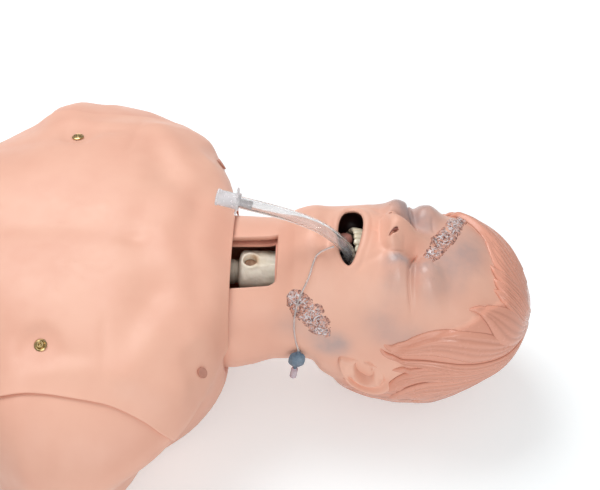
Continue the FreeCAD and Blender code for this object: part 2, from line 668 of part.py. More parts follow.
for side in (-1, 1):
    pin_hole = Part.makeCylinder(S["jaw_pin_radius"] + 0.05, 40 * HEAD.y,
                                 V(0, (side * 70 - 20) * HEAD.y, JAW_FRONT * HEAD.z), V(0, 1, 0))
    jaw = jaw.cut(place_in_head(pin_hole))
keep("lower_jaw", sorted(jaw.Solids, key=lambda s: -s.Volume)[0])

pins = []
for side in (-1, 1):
    start = side * (JAW_SIDE * HEAD.y - S["jaw_lug_wall"] - 1.0)
    pin_start = V(0, start, JAW_FRONT * HEAD.z)
    pin = Part.makeCylinder(S["jaw_pin_radius"], S["jaw_pin_length"], pin_start, V(0, side, 0))
    pins.append(place_in_head(pin))
keep("jaw_pins", Part.makeCompound(pins))

# Tongue on the floor of the jaw
tongue_size = V(23.0 * HEAD.x, 12.0 * HEAD.y, 15.0 * HEAD.z)
tongue = pillow(V(-79 * HEAD.x, 3 * HEAD.y, 46 * HEAD.z), tongue_size, 2.0, 9, 2.0)
tongue = tongue.common(block(V(-79 * HEAD.x, -60, 0), V(0, 60, 120)))
keep("tongue", place_in_head(tongue))

# Throat: a soft channel open to the mouth in front, down to the voice box
LUMEN_Z = 146.0


def throat_ring(centre, normal_turn, side, deep, count=20):
    """An oval ring about a point, square to a turned X axis."""
    ring = []
    for i in range(count):
        angle = 2 * math.pi * i / count
        ring.append(centre + normal_turn.multVec(V(0, side * math.sin(angle), deep * math.cos(angle))))
    return ring


def throat_solid(cut):
    """The throat's channel, smaller by a wall."""
    level = FreeCAD.Rotation()
    half_way = FreeCAD.Rotation(V(0, 1, 0), S["head_tilt"] / 2.0)
    end = neck_at(150.2, 0, 141.5)
    rings = [throat_ring(end, level, 19 - cut, 18.5 - cut),
             throat_ring(neck_at(160, 0, 141), half_way, 19.5 - cut, 18 - cut),
             throat_ring(skull_at(-58, 0, 9), TILT_TURN, 20 - cut, 15 - cut),
             throat_ring(skull_at(-30, 0, 8), TILT_TURN, 20 - cut, 15 - cut)]
    return skin_solid(rings, OVAL_ANGLES)


throat = throat_solid(0).cut(throat_solid(2.4)).cut(slab(-84, 20, 11, 60, 40))
keep("throat", sorted(throat.Solids, key=lambda s: -s.Volume)[0])

# Voice box with the opening for a needle or tube, and its membrane
LARYNX_LOW = 101.0
LARYNX_HIGH = 150.0
rings = []
for x, scale in ((LARYNX_LOW, 0.9), (106, 0.98), (128, 1.0), (142, 1.0), (LARYNX_HIGH, 0.92)):
    ring = []
    for degrees in PILLOW_ANGLES:
        angle = math.radians(degrees)
        radius = superellipse(angle, S["larynx_half"] * scale, (S["larynx_rise"] + 2) * scale,
                              S["larynx_rise"] * 0.9, 2.6, 3.0)
        ring.append(neck_at(x, 0, LUMEN_Z) + V(0, radius * math.sin(angle), radius * math.cos(angle)))
    rings.append(ring)
larynx = skin_solid(rings, PILLOW_ANGLES)
larynx = larynx.cut(rod(neck_at(90, 0, LUMEN_Z), neck_at(160, 0, LUMEN_Z), S["lumen_radius"]))
HOLE = neck_at(113, -1, LUMEN_Z)
larynx = larynx.cut(rod(HOLE, HOLE + V(0, 0, 40), S["hole_radius"]))
keep("larynx", larynx.Solids[0])
membrane = feature("Part::Cylinder", "membrane_disc", HOLE + V(0, 0, 12.4), None,
                   Radius="Sizes.hole_radius - Sizes.seat_gap", Height="Sizes.membrane_wall")
node(membrane, "throat_membrane")

# Neck liner: a sleeve inside the neck skin with its own window
liner_start = neck_at(72, 0, 0).x
liner_end = neck_at(144, 0, 0).x
liner = head_solid(-S["skin_wall"] - 0.3)
groove = head_solid(-S["skin_wall"] - S["liner_gap"])
hollow = head_solid(-S["skin_wall"] - S["liner_gap"] - S["liner_wall"])
liner = liner.common(block(V(liner_start, -150, 0), V(liner_end, 150, 250)))
ring_room = block(V(liner_start + 3.5, -150, 0), V(liner_end - 3.5, 150, 250))
liner = liner.cut(ring_room.cut(groove)).cut(hollow)
liner = liner.cut(window_prism(-1.5, -3.5))
keep("neck_liner", sorted(liner.Solids, key=lambda s: -s.Volume)[0])

# Neck post from the hinge to the skull's base, with a saddle under the voice box
post_side = [neck_at(80, 0, 103), neck_at(150, 0, 99), skull_at(8, 0, -22), skull_at(8, 0, -42),
             neck_at(150, 0, 85), neck_at(80, 0, 87)]
half_post = S["post_width"] / 2.0
post = polygon([V(p.x, -half_post, p.z) for p in post_side], V(0, 2 * half_post, 0))
hub_half = S["bracket_gap"] / 2.0 - 0.3
post = post.fuse(Part.makeCylinder(10.0, 2 * hub_half, HINGE - V(0, hub_half, 0), V(0, 1, 0)))
post = post.cut(Part.makeCylinder(S["hinge_radius"] + 0.05, 60, HINGE - V(0, 30, 0), V(0, 1, 0)))
keep("neck_post", post.Solids[0])
saddle_low = neck_at(108, 0, 100)
saddle_high = neck_at(128, 0, LUMEN_Z)
cradle = block(V(saddle_low.x, -9, saddle_low.z - 6), V(saddle_high.x, 9, saddle_high.z - 8))
solid_larynx = skin_solid(rings, PILLOW_ANGLES)
cradle = cradle.cut(solid_larynx).cut(post)
keep("larynx_cradle", sorted(cradle.Solids, key=lambda s: -s.CenterOfMass.z)[0])

# Bulkhead across the torso's neck opening, with the hinge bracket, pin and screws
PLATE_X = neck_at(20, 0, 0).x
GULLET_HOLE = neck_at(23, 32, 112)
plate = torso_solid(-S["torso_wall"] - 0.3).common(
    block(V(PLATE_X, -S["plate_width"] / 2, S["torso_wall"] + 0.2),
          V(PLATE_X + S["plate_wall"], S["plate_width"] / 2, 300)))
pipe_room = S["windpipe_radius"] + S["windpipe_ridge"] + 0.2
plate = plate.cut(rod(neck_at(0, 0, LUMEN_Z), neck_at(50, 0, LUMEN_Z), pipe_room))
plate = plate.cut(rod(GULLET_HOLE - V(30, 0, 0), GULLET_HOLE + V(30, 0, 0), S["gullet_radius"] + 1.5))
FOOT_X = PLATE_X + S["plate_wall"]
foot_low = neck_at(0, 0, 72).z
foot_high = neck_at(0, 0, 118).z
SCREWS = [(side * 19.0, z) for side in (-1, 1) for z in (foot_low + 6.0, foot_high - 6.0)]
for y, z in SCREWS:
    plate = plate.cut(Part.makeCylinder(S["screw_radius"], 60, V(PLATE_X - 20, y, z), V(1, 0, 0)))
keep("neck_plate", plate.Solids[0])

bracket = block(V(FOOT_X, -24, foot_low), V(FOOT_X + S["bracket_wall"], 24, foot_high))
for side in (-1, 1):
    near = S["bracket_gap"] / 2.0
    far = near + S["bracket_wall"]
    ear_low = min(side * near, side * far)
    arm = block(V(FOOT_X, ear_low, HINGE.z - 11), V(HINGE.x, ear_low + S["bracket_wall"], HINGE.z + 11))
    tip = Part.makeCylinder(11, S["bracket_wall"], V(HINGE.x, ear_low, HINGE.z), V(0, 1, 0))
    bracket = bracket.fuse(arm).fuse(tip)
bracket = bracket.cut(Part.makeCylinder(S["hinge_radius"], 80, HINGE - V(0, 40, 0), V(0, 1, 0)))
for y, z in SCREWS:
    bracket = bracket.cut(Part.makeCylinder(S["screw_radius"], 60, V(PLATE_X - 20, y, z), V(1, 0, 0)))
keep("neck_bracket", bracket.removeSplitter().Solids[0])

pin_half = S["bracket_gap"] / 2.0 + S["bracket_wall"]
shank = feature("Part::Cylinder", "hinge_shank", HINGE - V(0, pin_half, 0), ALONG_Y,
                Radius="Sizes.hinge_radius", Height="Sizes.bracket_gap + 2 * Sizes.bracket_wall")
head_a = feature("Part::Cylinder", "hinge_head_a", HINGE - V(0, pin_half + 2.0, 0), ALONG_Y,
                 Radius="Sizes.hinge_head", Height="2 mm")
head_b = feature("Part::Cylinder", "hinge_head_b", HINGE + V(0, pin_half, 0), ALONG_Y,
                 Radius="Sizes.hinge_head", Height="2 mm")
node(joined("Part::MultiFuse", "hinge_pin_body", [shank, head_a, head_b]), "neck_hinge_pin")

screws = []
for y, z in SCREWS:
    at = V(FOOT_X + S["bracket_wall"], y, z)
    shaft = Part.makeCylinder(S["screw_radius"], S["bracket_wall"] + S["plate_wall"], at, V(-1, 0, 0))
    cap = Part.makeCylinder(S["screw_head"], 2.6, at, V(1, 0, 0))
    slot = block(V(at.x + 1.6, y - 0.6, z - 6), V(at.x + 4.0, y + 0.6, z + 6))
    screws.append(shaft.fuse(cap).cut(slot).Solids[0])
keep("bracket_screws", Part.makeCompound(screws))

# Windpipe: a ringed hose from the voice box to the fork
WIND_END = -30.0
wind_a = neck_at(LARYNX_LOW, 0, LUMEN_Z)
wind_b = neck_at(WIND_END, 0, LUMEN_Z)
wind_length = wind_a.x - wind_b.x
profile = [(S["windpipe_radius"] - S["hose_wall"], 0), (S["windpipe_radius"], 0)]
RINGS = 9
pitch = wind_length / RINGS
for i in range(RINGS):
    base_h = i * pitch
    for share, rise in ((0.30, 0), (0.42, 1), (0.70, 1), (0.82, 0)):
        profile.append((S["windpipe_radius"] + rise * S["windpipe_ridge"], base_h + share * pitch))
profile += [(S["windpipe_radius"], wind_length), (S["windpipe_radius"] - S["hose_wall"], wind_length)]
keep("windpipe", turned(profile), wind_b, ALONG_X)

# Lungs, stomach and the tray that they lie on
half_lung = V(S["lung_length"] / 2, S["lung_width"] / 2, S["lung_thick"] / 2)
TRAY_TOP = S["torso_wall"] + S["tray_wall"]
bags = []
for name, side in (("left_lung", -1), ("right_lung", 1)):
    spot = torso_at(-190, side * 67, 0)
    spot.z = TRAY_TOP + half_lung.z + 0.25
    bag = pillow(spot, half_lung)
    bags.append(bag)
    keep(name, bag)
half_stomach = V(S["stomach_length"] / 2, S["stomach_width"] / 2, S["stomach_thick"] / 2)
spot = torso_at(-332, 6, 0)
spot.z = TRAY_TOP + half_stomach.z + 0.25
stomach = pillow(spot, half_stomach)
keep("stomach_bag", stomach)
tray_low = torso_at(-374, -84, 0)
tray_high = torso_at(-80, 84, 0)
tray = block(V(tray_low.x, tray_low.y, S["torso_wall"]), V(tray_high.x, tray_high.y, TRAY_TOP))
tray = tray.makeFillet(12, [e for e in tray.Edges if abs(e.tangentAt(e.FirstParameter).z) > 0.9])
keep("lung_tray", tray)

fork_start = wind_b
fork_middle = fork_start - V(26, 0, 0)
outer = rod(fork_start, fork_middle - V(6, 0, 0), S["fork_radius"])
inner = rod(fork_start + V(1, 0, 0), fork_middle - V(4, 0, 0), S["fork_radius"] - 2.0)
for side in (-1, 1):
    target = torso_at(-112, side * 62, 0)
    target.z = TRAY_TOP + half_lung.z + 12
    outer = outer.fuse(rod(fork_middle, target, S["fork_radius"] - 2.0))
    inner = inner.fuse(rod(fork_middle, target, S["fork_radius"] - 4.0))
fork = outer.cut(inner).cut(bags[0]).cut(bags[1])
keep("bronchial_fork", sorted(fork.Solids, key=lambda s: -s.Volume)[0])

stomach_front = spot + V(-half_stomach.x * 0.1, 0, 6)
gullet_route = [neck_at(149.9, 10, 120.8), neck_at(112, 27, 119), neck_at(60, 33, 117), neck_at(0, 31, 108),
                torso_at(-62, 8, 92), torso_at(-120, 1, 76), torso_at(-200, 0, 66), stomach_front + V(70, 0, 0),
                stomach_front]
gullet, gullet_length, _ = bent_hose(gullet_route, S["gullet_radius"], S["hose_wall"])
gullet = gullet.cut(stomach).cut(block(neck_at(149.9, -60, 60), neck_at(170, 60, 200)))
keep("gullet", sorted(gullet.Solids, key=lambda s: -s.Volume)[0])
clip = turned([(S["windpipe_radius"] + 0.2, 0), (S["windpipe_radius"] + 2.4, 0), (S["windpipe_radius"] + 2.4, 3.6),
               (S["windpipe_radius"] + 0.2, 3.6)])
keep("hose_clip", clip, neck_at(WIND_END + 0.4, 0, LUMEN_Z), ALONG_X)

# Breathing tube, its fifteen millimetre connector and its cuff
tube_route = [neck_at(62, 0, LUMEN_Z), neck_at(122, 0, LUMEN_Z), head_at(160, 0, 150), head_at(184, -4, 157),
              head_at(204, -15, 180), head_at(209.5, -20.5, 202), head_at(197, -17.5, 218), head_at(181, -15, 231),
              head_at(158, -11.5, 240), head_at(134, -7.5, 245), head_at(105.2, -2, 248.3)]
tube, tube_length, tube_bends = bent_hose(tube_route, S["tube_radius"], S["tube_radius"] - S["tube_bore"])
keep("breathing_tube", tube)
cuff_half = S["cuff_length"] / 2
cuff_profile = [(S["tube_radius"], -cuff_half)]
for i in range(9):
    angle = math.pi * i / 8.0
    cuff_profile.append((S["tube_radius"] + (S["cuff_radius"] - S["tube_radius"]) * math.sin(angle) ** 0.7,
                         -cuff_half * math.cos(angle)))
cuff_profile = [cuff_profile[0]] + cuff_profile[2:-1] + [(S["tube_radius"], cuff_half)]
keep("tube_cuff", turned(cuff_profile), neck_at(77, 0, LUMEN_Z), ALONG_X)

outlet = (tube_route[-1] - tube_route[-2]).normalize()
outlet_turn = FreeCAD.Rotation(V(0, 0, 1), outlet)
lip = S["connector_radius"]
body = turned([(S["tube_bore"] - 0.8, -12), (S["tube_bore"] - 0.1, -12), (S["tube_bore"] - 0.1, 0.2), (lip + 1.0, 0.2),
               (lip + 1.0, 2.6), (lip, 2.6), (lip, S["connector_length"]),
               (lip - 1.5, S["connector_length"]), (lip - 1.5, 4.0), (S["tube_bore"] - 0.8, 2.6)])
wing = block(V(-S["ear_span"] / 2, -3.4, 0.2), V(S["ear_span"] / 2, 3.4, 2.6))
wing = wing.makeFillet(3.2, [e for e in wing.Edges if abs(e.tangentAt(e.FirstParameter).z) > 0.9])
wing = wing.cut(Part.makeCylinder(lip - 1.0, 10, V(0, 0, -2)))
body = body.fuse(wing)
side_on = FreeCAD.Rotation(V(0, 0, 1), 90)
keep("tube_connector", body.Solids[0], tube_route[-1] + outlet * 0.0, outlet_turn.multiply(side_on))

# Inflation line, pilot balloon and valve
# Its way over the skin: x, angle from the top and height over the skin
LINE = [(174.4, 336.8, 2.2), (171, 328.4, 2.2), (162.6, 317.6, 2.0), (157.5, 303.3, 2.0), (158.3, 285.5, 2.6),
        (162.5, 272.5, 3.2)]
line_route = [head_at(193.5, -23, 213.5), head_at(179.5, -25, 209)]
line_route += [head_ring(x, [degrees], lift, True)[0] for x, degrees, lift in LINE]
line, line_length, line_bends = bent_bar(line_route, S["line_radius"])
keep("inflation_line", line)
print("inflation line length %.1f radii %s" % (line_length, ["%.0f" % b for b in line_bends]))
print("line volume share %.4f" % (line.Volume / (math.pi * S["line_radius"] ** 2 * line_length)))

hang_top = line_route[-1]
hang = V(-5.0, -3.0, -32.0).normalize()
hang_turn = FreeCAD.Rotation(V(1, 0, 0), V(0, -1, 0), hang, "ZXY")
sleeve_length = 4.0
rings = []
for share, size in ((0.0, 0.16), (0.12, 0.34), (0.28, 0.78), (0.5, 1.0), (0.72, 0.82), (0.88, 0.42), (1.0, 0.24)):
    ring = []
    for degrees in PILLOW_ANGLES:
        angle = math.radians(degrees)
        half_w = max(S["balloon_width"] / 2 * size, 2.1)
        half_t = max(S["balloon_thick"] / 2 * size ** 0.5, 2.1)
        ring.append(V(half_w * math.sin(angle), half_t * math.cos(angle), share * S["balloon_length"]))
    rings.append(ring)
keep("pilot_balloon", skin_solid(rings, PILLOW_ANGLES), hang_top, hang_turn)
valve = turned([(1.9, 0), (1.9, 1.0), (S["valve_radius"], 2.0), (S["valve_radius"], S["valve_length"]),
                (S["stem_radius"] + 0.05, S["valve_length"]), (S["stem_radius"] + 0.05, 5.0), (0, 5.0), (0, 0)])
valve_at = hang_top + hang * S["balloon_length"]
keep("balloon_valve", valve, valve_at, hang_turn)
stem = feature("Part::Cylinder", "stem_rod", valve_at + hang * 6.4, hang_turn,
               Radius="Sizes.stem_radius", Height="Sizes.valve_length - 5")
node(stem, "valve_stem")

# Check and write every sub-part
doc.recompute()
os.makedirs("parts", exist_ok=True)
total = 0
for item in doc.Objects:
    if "Invalid" in item.State or "Error" in item.State:
        raise RuntimeError("%s did not compute: %s" % (item.Name, item.State))
for item in NODES:
    shape = item.Shape
    if shape.isNull() or not shape.isValid():
        raise RuntimeError("%s is not a sound solid" % item.Label)
    count = len(shape.copy().tessellate(0.25)[1])
    total += count
    box = shape.BoundBox
    print("%-18s solids %d faces %3d triangles %5d volume %9.0f  x %.1f..%.1f y %.1f..%.1f z %.1f..%.1f" % (
        item.Label, len(shape.Solids), len(shape.Faces), count, shape.Volume, box.XMin, box.XMax,
        box.YMin, box.YMax, box.ZMin, box.ZMax))
    shape.exportStep("parts/%s.step" % item.Label)
print("triangles", total, "nodes", len(NODES), "tube length %.1f" % tube_length,
      "tube bends", ["%.0f" % b for b in tube_bends])
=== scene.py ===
"""Looks of an airway management trainer lying on its back, built round its solid pieces.

Shapes are worked out in millimetres in the frame's own axes, X to the crown and Z up, and
become metres when a mesh is made.
"""
import logging
import math
from collections.abc import Callable
from dataclasses import dataclass, field
from enum import Enum

import bmesh
import bpy
import numpy as np
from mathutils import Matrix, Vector


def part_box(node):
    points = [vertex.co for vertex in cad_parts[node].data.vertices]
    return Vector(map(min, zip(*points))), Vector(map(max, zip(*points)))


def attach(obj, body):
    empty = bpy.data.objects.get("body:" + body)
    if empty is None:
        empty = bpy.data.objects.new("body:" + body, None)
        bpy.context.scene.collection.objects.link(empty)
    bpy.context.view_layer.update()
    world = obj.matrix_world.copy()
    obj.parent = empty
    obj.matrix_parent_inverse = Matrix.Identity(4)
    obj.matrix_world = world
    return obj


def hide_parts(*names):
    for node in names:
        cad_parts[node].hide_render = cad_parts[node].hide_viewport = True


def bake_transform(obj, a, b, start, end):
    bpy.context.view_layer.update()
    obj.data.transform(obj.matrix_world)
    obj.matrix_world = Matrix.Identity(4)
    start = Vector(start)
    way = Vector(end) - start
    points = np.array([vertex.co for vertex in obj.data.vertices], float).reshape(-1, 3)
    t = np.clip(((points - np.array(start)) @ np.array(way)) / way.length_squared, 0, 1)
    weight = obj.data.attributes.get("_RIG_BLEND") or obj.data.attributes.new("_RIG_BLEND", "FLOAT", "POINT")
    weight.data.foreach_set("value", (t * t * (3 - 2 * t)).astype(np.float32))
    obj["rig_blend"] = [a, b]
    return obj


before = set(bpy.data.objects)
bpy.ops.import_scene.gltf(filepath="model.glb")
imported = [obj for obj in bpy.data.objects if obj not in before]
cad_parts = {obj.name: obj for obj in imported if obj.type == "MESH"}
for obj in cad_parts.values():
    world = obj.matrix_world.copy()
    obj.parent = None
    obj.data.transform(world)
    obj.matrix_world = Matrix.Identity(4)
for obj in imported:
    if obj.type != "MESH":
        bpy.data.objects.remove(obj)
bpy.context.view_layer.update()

MM = 0.001
Array = np.ndarray
Colour = tuple[float, float, float]
log = logging.getLogger("airway_trainer")
LATTICE_KEYS = np.array([73856093, 19349663, 83492791])
LATTICE_VALUES = 4096


# Curves and surfaces

def through(table: list[tuple], x: Array, column: int = 1) -> Array:
    """A smooth curve through a table's rows that never overshoots them.

    Formula: cubic pieces in x whose slopes are weighted harmonic means of the neighbouring
    rates, and zero where the rate changes sign.

    Args:
        table: Rows of numbers, the first of each being x.
        x: Where to read the curve.
        column: Which number of each row is read.

    Returns:
        The curve's values, shaped as x.
    """
    rows = np.asarray(table, float)
    knots, values = rows[:, 0], rows[:, column]
    step = np.diff(knots)
    rate = np.diff(values) / step
    slope = np.concatenate([[rate[0]], np.zeros(len(rate) - 1), [rate[-1]]])
    before, after = rate[:-1], rate[1:]
    same = before * after > 0
    w1 = 2 * step[1:] + step[:-1]
    w2 = step[1:] + 2 * step[:-1]
    slope[1:-1][same] = (w1 + w2)[same] / (w1[same] / before[same] + w2[same] / after[same])
    x = np.clip(np.asarray(x, float), knots[0], knots[-1])
    k = np.clip(np.searchsorted(knots, x) - 1, 0, len(step) - 1)
    t = (x - knots[k]) / step[k]
    return ((1 + 2 * t) * (1 - t) ** 2 * values[k] + t * (1 - t) ** 2 * step[k] * slope[k]
            + t * t * (3 - 2 * t) * values[k + 1] + t * t * (t - 1) * step[k] * slope[k + 1])


def ease(t: Array) -> Array:
    """Zero to one with level ends: 3t^2 - 2t^3 between 0 and 1."""
    t = np.clip(t, 0.0, 1.0)
    return t * t * (3.0 - 2.0 * t)


def bell(t: Array) -> Array:
    """One at zero and falling to both sides: exp(-t^2)."""
    return np.exp(-t ** 2)


def halved(less: Callable[[Array], Array], low: Array, high: Array, steps: int = 30) -> Array:
    """The last place at which a test still holds, by halving between low and high.

    Args:
        less: The test, true under the place looked for.
        low: Places at which the test holds.
        high: Places at which it doesn't.
        steps: How many halvings.

    Returns:
        The places found.
    """
    for _ in range(steps):
        middle = (low + high) / 2.0
        under = less(middle)
        low, high = np.where(under, middle, low), np.where(under, high, middle)
    return low


def squared(value: Array, power: float) -> Array:
    """A value raised to a power with its sign kept, which squares off a circle's sine."""
    return np.sign(value) * np.abs(value) ** power


def unit(vectors: Array) -> Array:
    """Vectors drawn to a length of one."""
    return vectors / (np.linalg.norm(vectors, axis=-1, keepdims=True) + 1e-9)


def degrees_round(angle: Array) -> Array:
    """Angles in degrees, between -180 and 180."""
    return np.degrees((angle + np.pi) % (2 * np.pi) - np.pi)


def full_circle(count: int) -> Array:
    """Evenly spread angles once round."""
    return np.linspace(0, 2 * np.pi, count, endpoint=False)


def humps(x: Array, y: Array, rows: list[tuple], paired: bool = False) -> Array:
    """The sum of humps from rows of (x0, y0, sx, sy, rise), at both sides where paired."""
    return sum(hump(x, y, x0, side * y0, sx, sy, rise)
               for x0, y0, sx, sy, rise in rows for side in ((1, -1) if paired else (1,)))


def graded(runs: tuple[tuple[float, float, float], ...]) -> Array:
    """Places along runs of (start, end, step), each run without its end."""
    return np.concatenate([np.linspace(a, b, int(round((b - a) / s)), endpoint=False)
                           for a, b, s in runs])


def between(a: Array, b: Array, c: Array, d: Array, f: Array) -> Array:
    """A smooth line's points between b and c at shares f, led by the points a and d."""
    return 0.5 * (2 * b + (c - a) * f + (2 * a - 5 * b + 4 * c - d) * f ** 2
                  + (3 * b - a - 3 * c + d) * f ** 3)


def hump(x: Array, y: Array, x0: float, y0: float, sx: float, sy: float, rise: float) -> Array:
    """A rounded rise about (x0, y0): rise times exp(-(dx/sx)^2 - (dy/sy)^2)."""
    return rise * np.exp(-((x - x0) / sx) ** 2 - ((y - y0) / sy) ** 2)


def oval_radius(angle: Array, half: Array, up: Array, down: Array, sharp_up: Array,
                sharp_down: Array) -> Array:
    """Radius of an oval with its own upper and lower halves.

    Formula: (|sin|/half)^n + (|cos|/rise)^n = 1, solved for the radius, with n and the rise
    of the upper or the lower half.

    Args:
        angle: Angle from the top, in radians.
        half: Half width.
        up: Height over the middle.
        down: Depth under the middle.
        sharp_up: Exponent of the upper half.
        sharp_down: Exponent of the lower half.

    Returns:
        The radius at each angle.
    """
    c, s = np.cos(angle), np.abs(np.sin(angle))
    rise = np.where(c > 0, up, down)
    sharp = np.where(c > 0, sharp_up, sharp_down)
    return ((s / half) ** sharp + (np.abs(c) / rise) ** sharp) ** (-1.0 / sharp)


def lumps(points: Array, size: float, seed: int, octaves: int = 3) -> Array:
    """Soft random lumps: values on a lattice, eased between its corners, in several sizes.

    Args:
        points: Places, (..., 3), in millimetres.
        size: Lattice spacing of the largest lumps.
        seed: Which pattern.
        octaves: How many sizes, each half the last.

    Returns:
        A value from about -1 to 1 at each place.
    """
    table = np.random.default_rng(seed).uniform(-1.0, 1.0, LATTICE_VALUES)
    total = np.zeros(points.shape[:-1])
    weight, reach = 1.0, 0.0
    for octave in range(octaves):
        p = points * (2.0 ** octave / size) + 37.7 * octave
        base = np.floor(p).astype(np.int64)
        t = ease(p - base)
        for corner in range(8):
            bit = np.array([corner & 1, corner >> 1 & 1, corner >> 2 & 1])
            key = np.bitwise_xor.reduce((base + bit) * LATTICE_KEYS, axis=-1)
            share = np.where(bit == 1, t, 1.0 - t).prod(-1)
            total += weight * share * table[key & (LATTICE_VALUES - 1)]
        reach += weight
        weight *= 0.5
    return total / reach


def normals_of(points: Array) -> Array:
    """Unit normals of a grid of points, from the cross product of its two directions."""
    return unit(np.cross(np.gradient(points, axis=0), np.gradient(points, axis=1)))


def edge_distance(x: Array, y: Array, outline: Array) -> tuple[Array, Array]:
    """Distance from a closed outline in plan, negative inside, and the nearest point on it.

    Args:
        x: Places in plan.
        y: Places in plan.
        outline: The outline's points, (n, 2).

    Returns:
        The signed distance, and the nearest points, (..., 2).
    """
    place = np.stack([x, y], -1)
    best = np.full(place.shape[:-1], 1e9)
    nearest = np.zeros_like(place)
    inside = np.zeros(place.shape[:-1], bool)
    for a, b in zip(outline, np.roll(outline, -1, axis=0)):
        run = b - a
        t = np.clip(((place - a) @ run) / (run @ run), 0, 1)
        spot = a + t[..., None] * run
        gap = np.linalg.norm(place - spot, axis=-1)
        closer = gap < best
        best = np.where(closer, gap, best)
        nearest = np.where(closer[..., None], spot, nearest)
        crosses = (a[1] > place[..., 1]) != (b[1] > place[..., 1])
        if b[1] != a[1]:
            at = a[0] + (place[..., 1] - a[1]) / (b[1] - a[1]) * (b[0] - a[0])
            inside ^= crosses & (place[..., 0] < at)
    return np.where(inside, -best, best), nearest


def smooth_loop(points: list[tuple], count: int) -> Array:
    """A closed smooth line through points: each piece blends four neighbours by cubics."""
    p = np.asarray(points, float)
    n = len(p)
    t = np.arange(count) * n / count
    k = t.astype(int)
    f = (t - k)[:, None]
    a, b, c, d = (p[(k + i) % n] for i in (-1, 0, 1, 2))
    return between(a, b, c, d, f)


# Meshes

def grid_faces(rows: int, columns: int, closed: bool = False) -> list:
    """Quads of a grid whose points run row by row, joined round the columns where closed."""
    i, j = np.meshgrid(np.arange(rows - 1), np.arange(columns if closed else columns - 1),
                       indexing="ij")
    k = (j + 1) % columns
    return np.stack([i * columns + j, i * columns + k, (i + 1) * columns + k,
                     (i + 1) * columns + j], -1).reshape(-1, 4).tolist()


def make_mesh(name: str, points: Array, faces: list, **marks: Array) -> bpy.types.Object:
    """A smooth mesh object from points in millimetres.

    Args:
        name: The object's name.
        points: Places, (..., 3), in millimetres.
        faces: Corner numbers of each face.
        marks: Values for each point, kept as attributes.

    Returns:
        The new object, at the origin.
    """
    mesh = bpy.data.meshes.new(name)
    mesh.from_pydata((points.reshape(-1, 3) * MM).tolist(), [], faces)
    for mark, values in marks.items():
        layer = mesh.attributes.new(mark, "FLOAT", "POINT")
        layer.data.foreach_set("value", np.asarray(values, np.float32).ravel())
    mesh.polygons.foreach_set("use_smooth", np.ones(len(mesh.polygons), bool))
    mesh.update()
    thing = bpy.data.objects.new(name, mesh)
    bpy.context.scene.collection.objects.link(thing)
    return thing


def closed_loft(name: str, rings: Array, **marks: Array) -> bpy.types.Object:
    """A closed mesh through closed rings, (n, m, 3), with each end drawn to a point."""
    ends = [rings[0].mean(0, keepdims=True).repeat(rings.shape[1], 0)[None],
            rings[-1].mean(0, keepdims=True).repeat(rings.shape[1], 0)[None]]
    rings = np.concatenate([ends[0], rings, ends[1]])
    marks = {k: np.concatenate([v[:1], v, v[-1:]]) for k, v in marks.items()}
    thing = make_mesh(name, rings, grid_faces(rings.shape[0], rings.shape[1], True), **marks)
    tidy(thing)
    return thing


def tidy(thing: bpy.types.Object, gap: float = 1e-6) -> None:
    """Merge doubled points, drop empty faces and turn the faces outwards."""
    work = bmesh.new()
    work.from_mesh(thing.data)
    bmesh.ops.remove_doubles(work, verts=work.verts, dist=gap)
    bmesh.ops.dissolve_degenerate(work, edges=work.edges, dist=gap)
    bmesh.ops.recalc_face_normals(work, faces=work.faces)
    work.to_mesh(thing.data)
    work.free()
    thing.data.update()


def add_wall(thing: bpy.types.Object, thickness: float) -> None:
    """Give an open face an inner face, thickness millimetres behind it."""
    wall = thing.modifiers.new("wall", "SOLIDIFY")
    wall.thickness = thickness * MM
    with bpy.context.temp_override(object=thing, active_object=thing):
        bpy.ops.object.modifier_apply(modifier=wall.name)


def join(name: str, things: list[bpy.types.Object]) -> bpy.types.Object:
    """Join mesh objects into one, under a new name."""
    with bpy.context.temp_override(active_object=things[0], object=things[0],
                                   selected_objects=things, selected_editable_objects=things):
        bpy.ops.object.join()
    things[0].name = name
    things[0].data.name = name
    return things[0]


def dress(thing: bpy.types.Object, material: bpy.types.Material) -> bpy.types.Object:
    """Give an object its only material."""
    thing.data.materials.clear()
    thing.data.materials.append(material)
    return thing


# Finishes

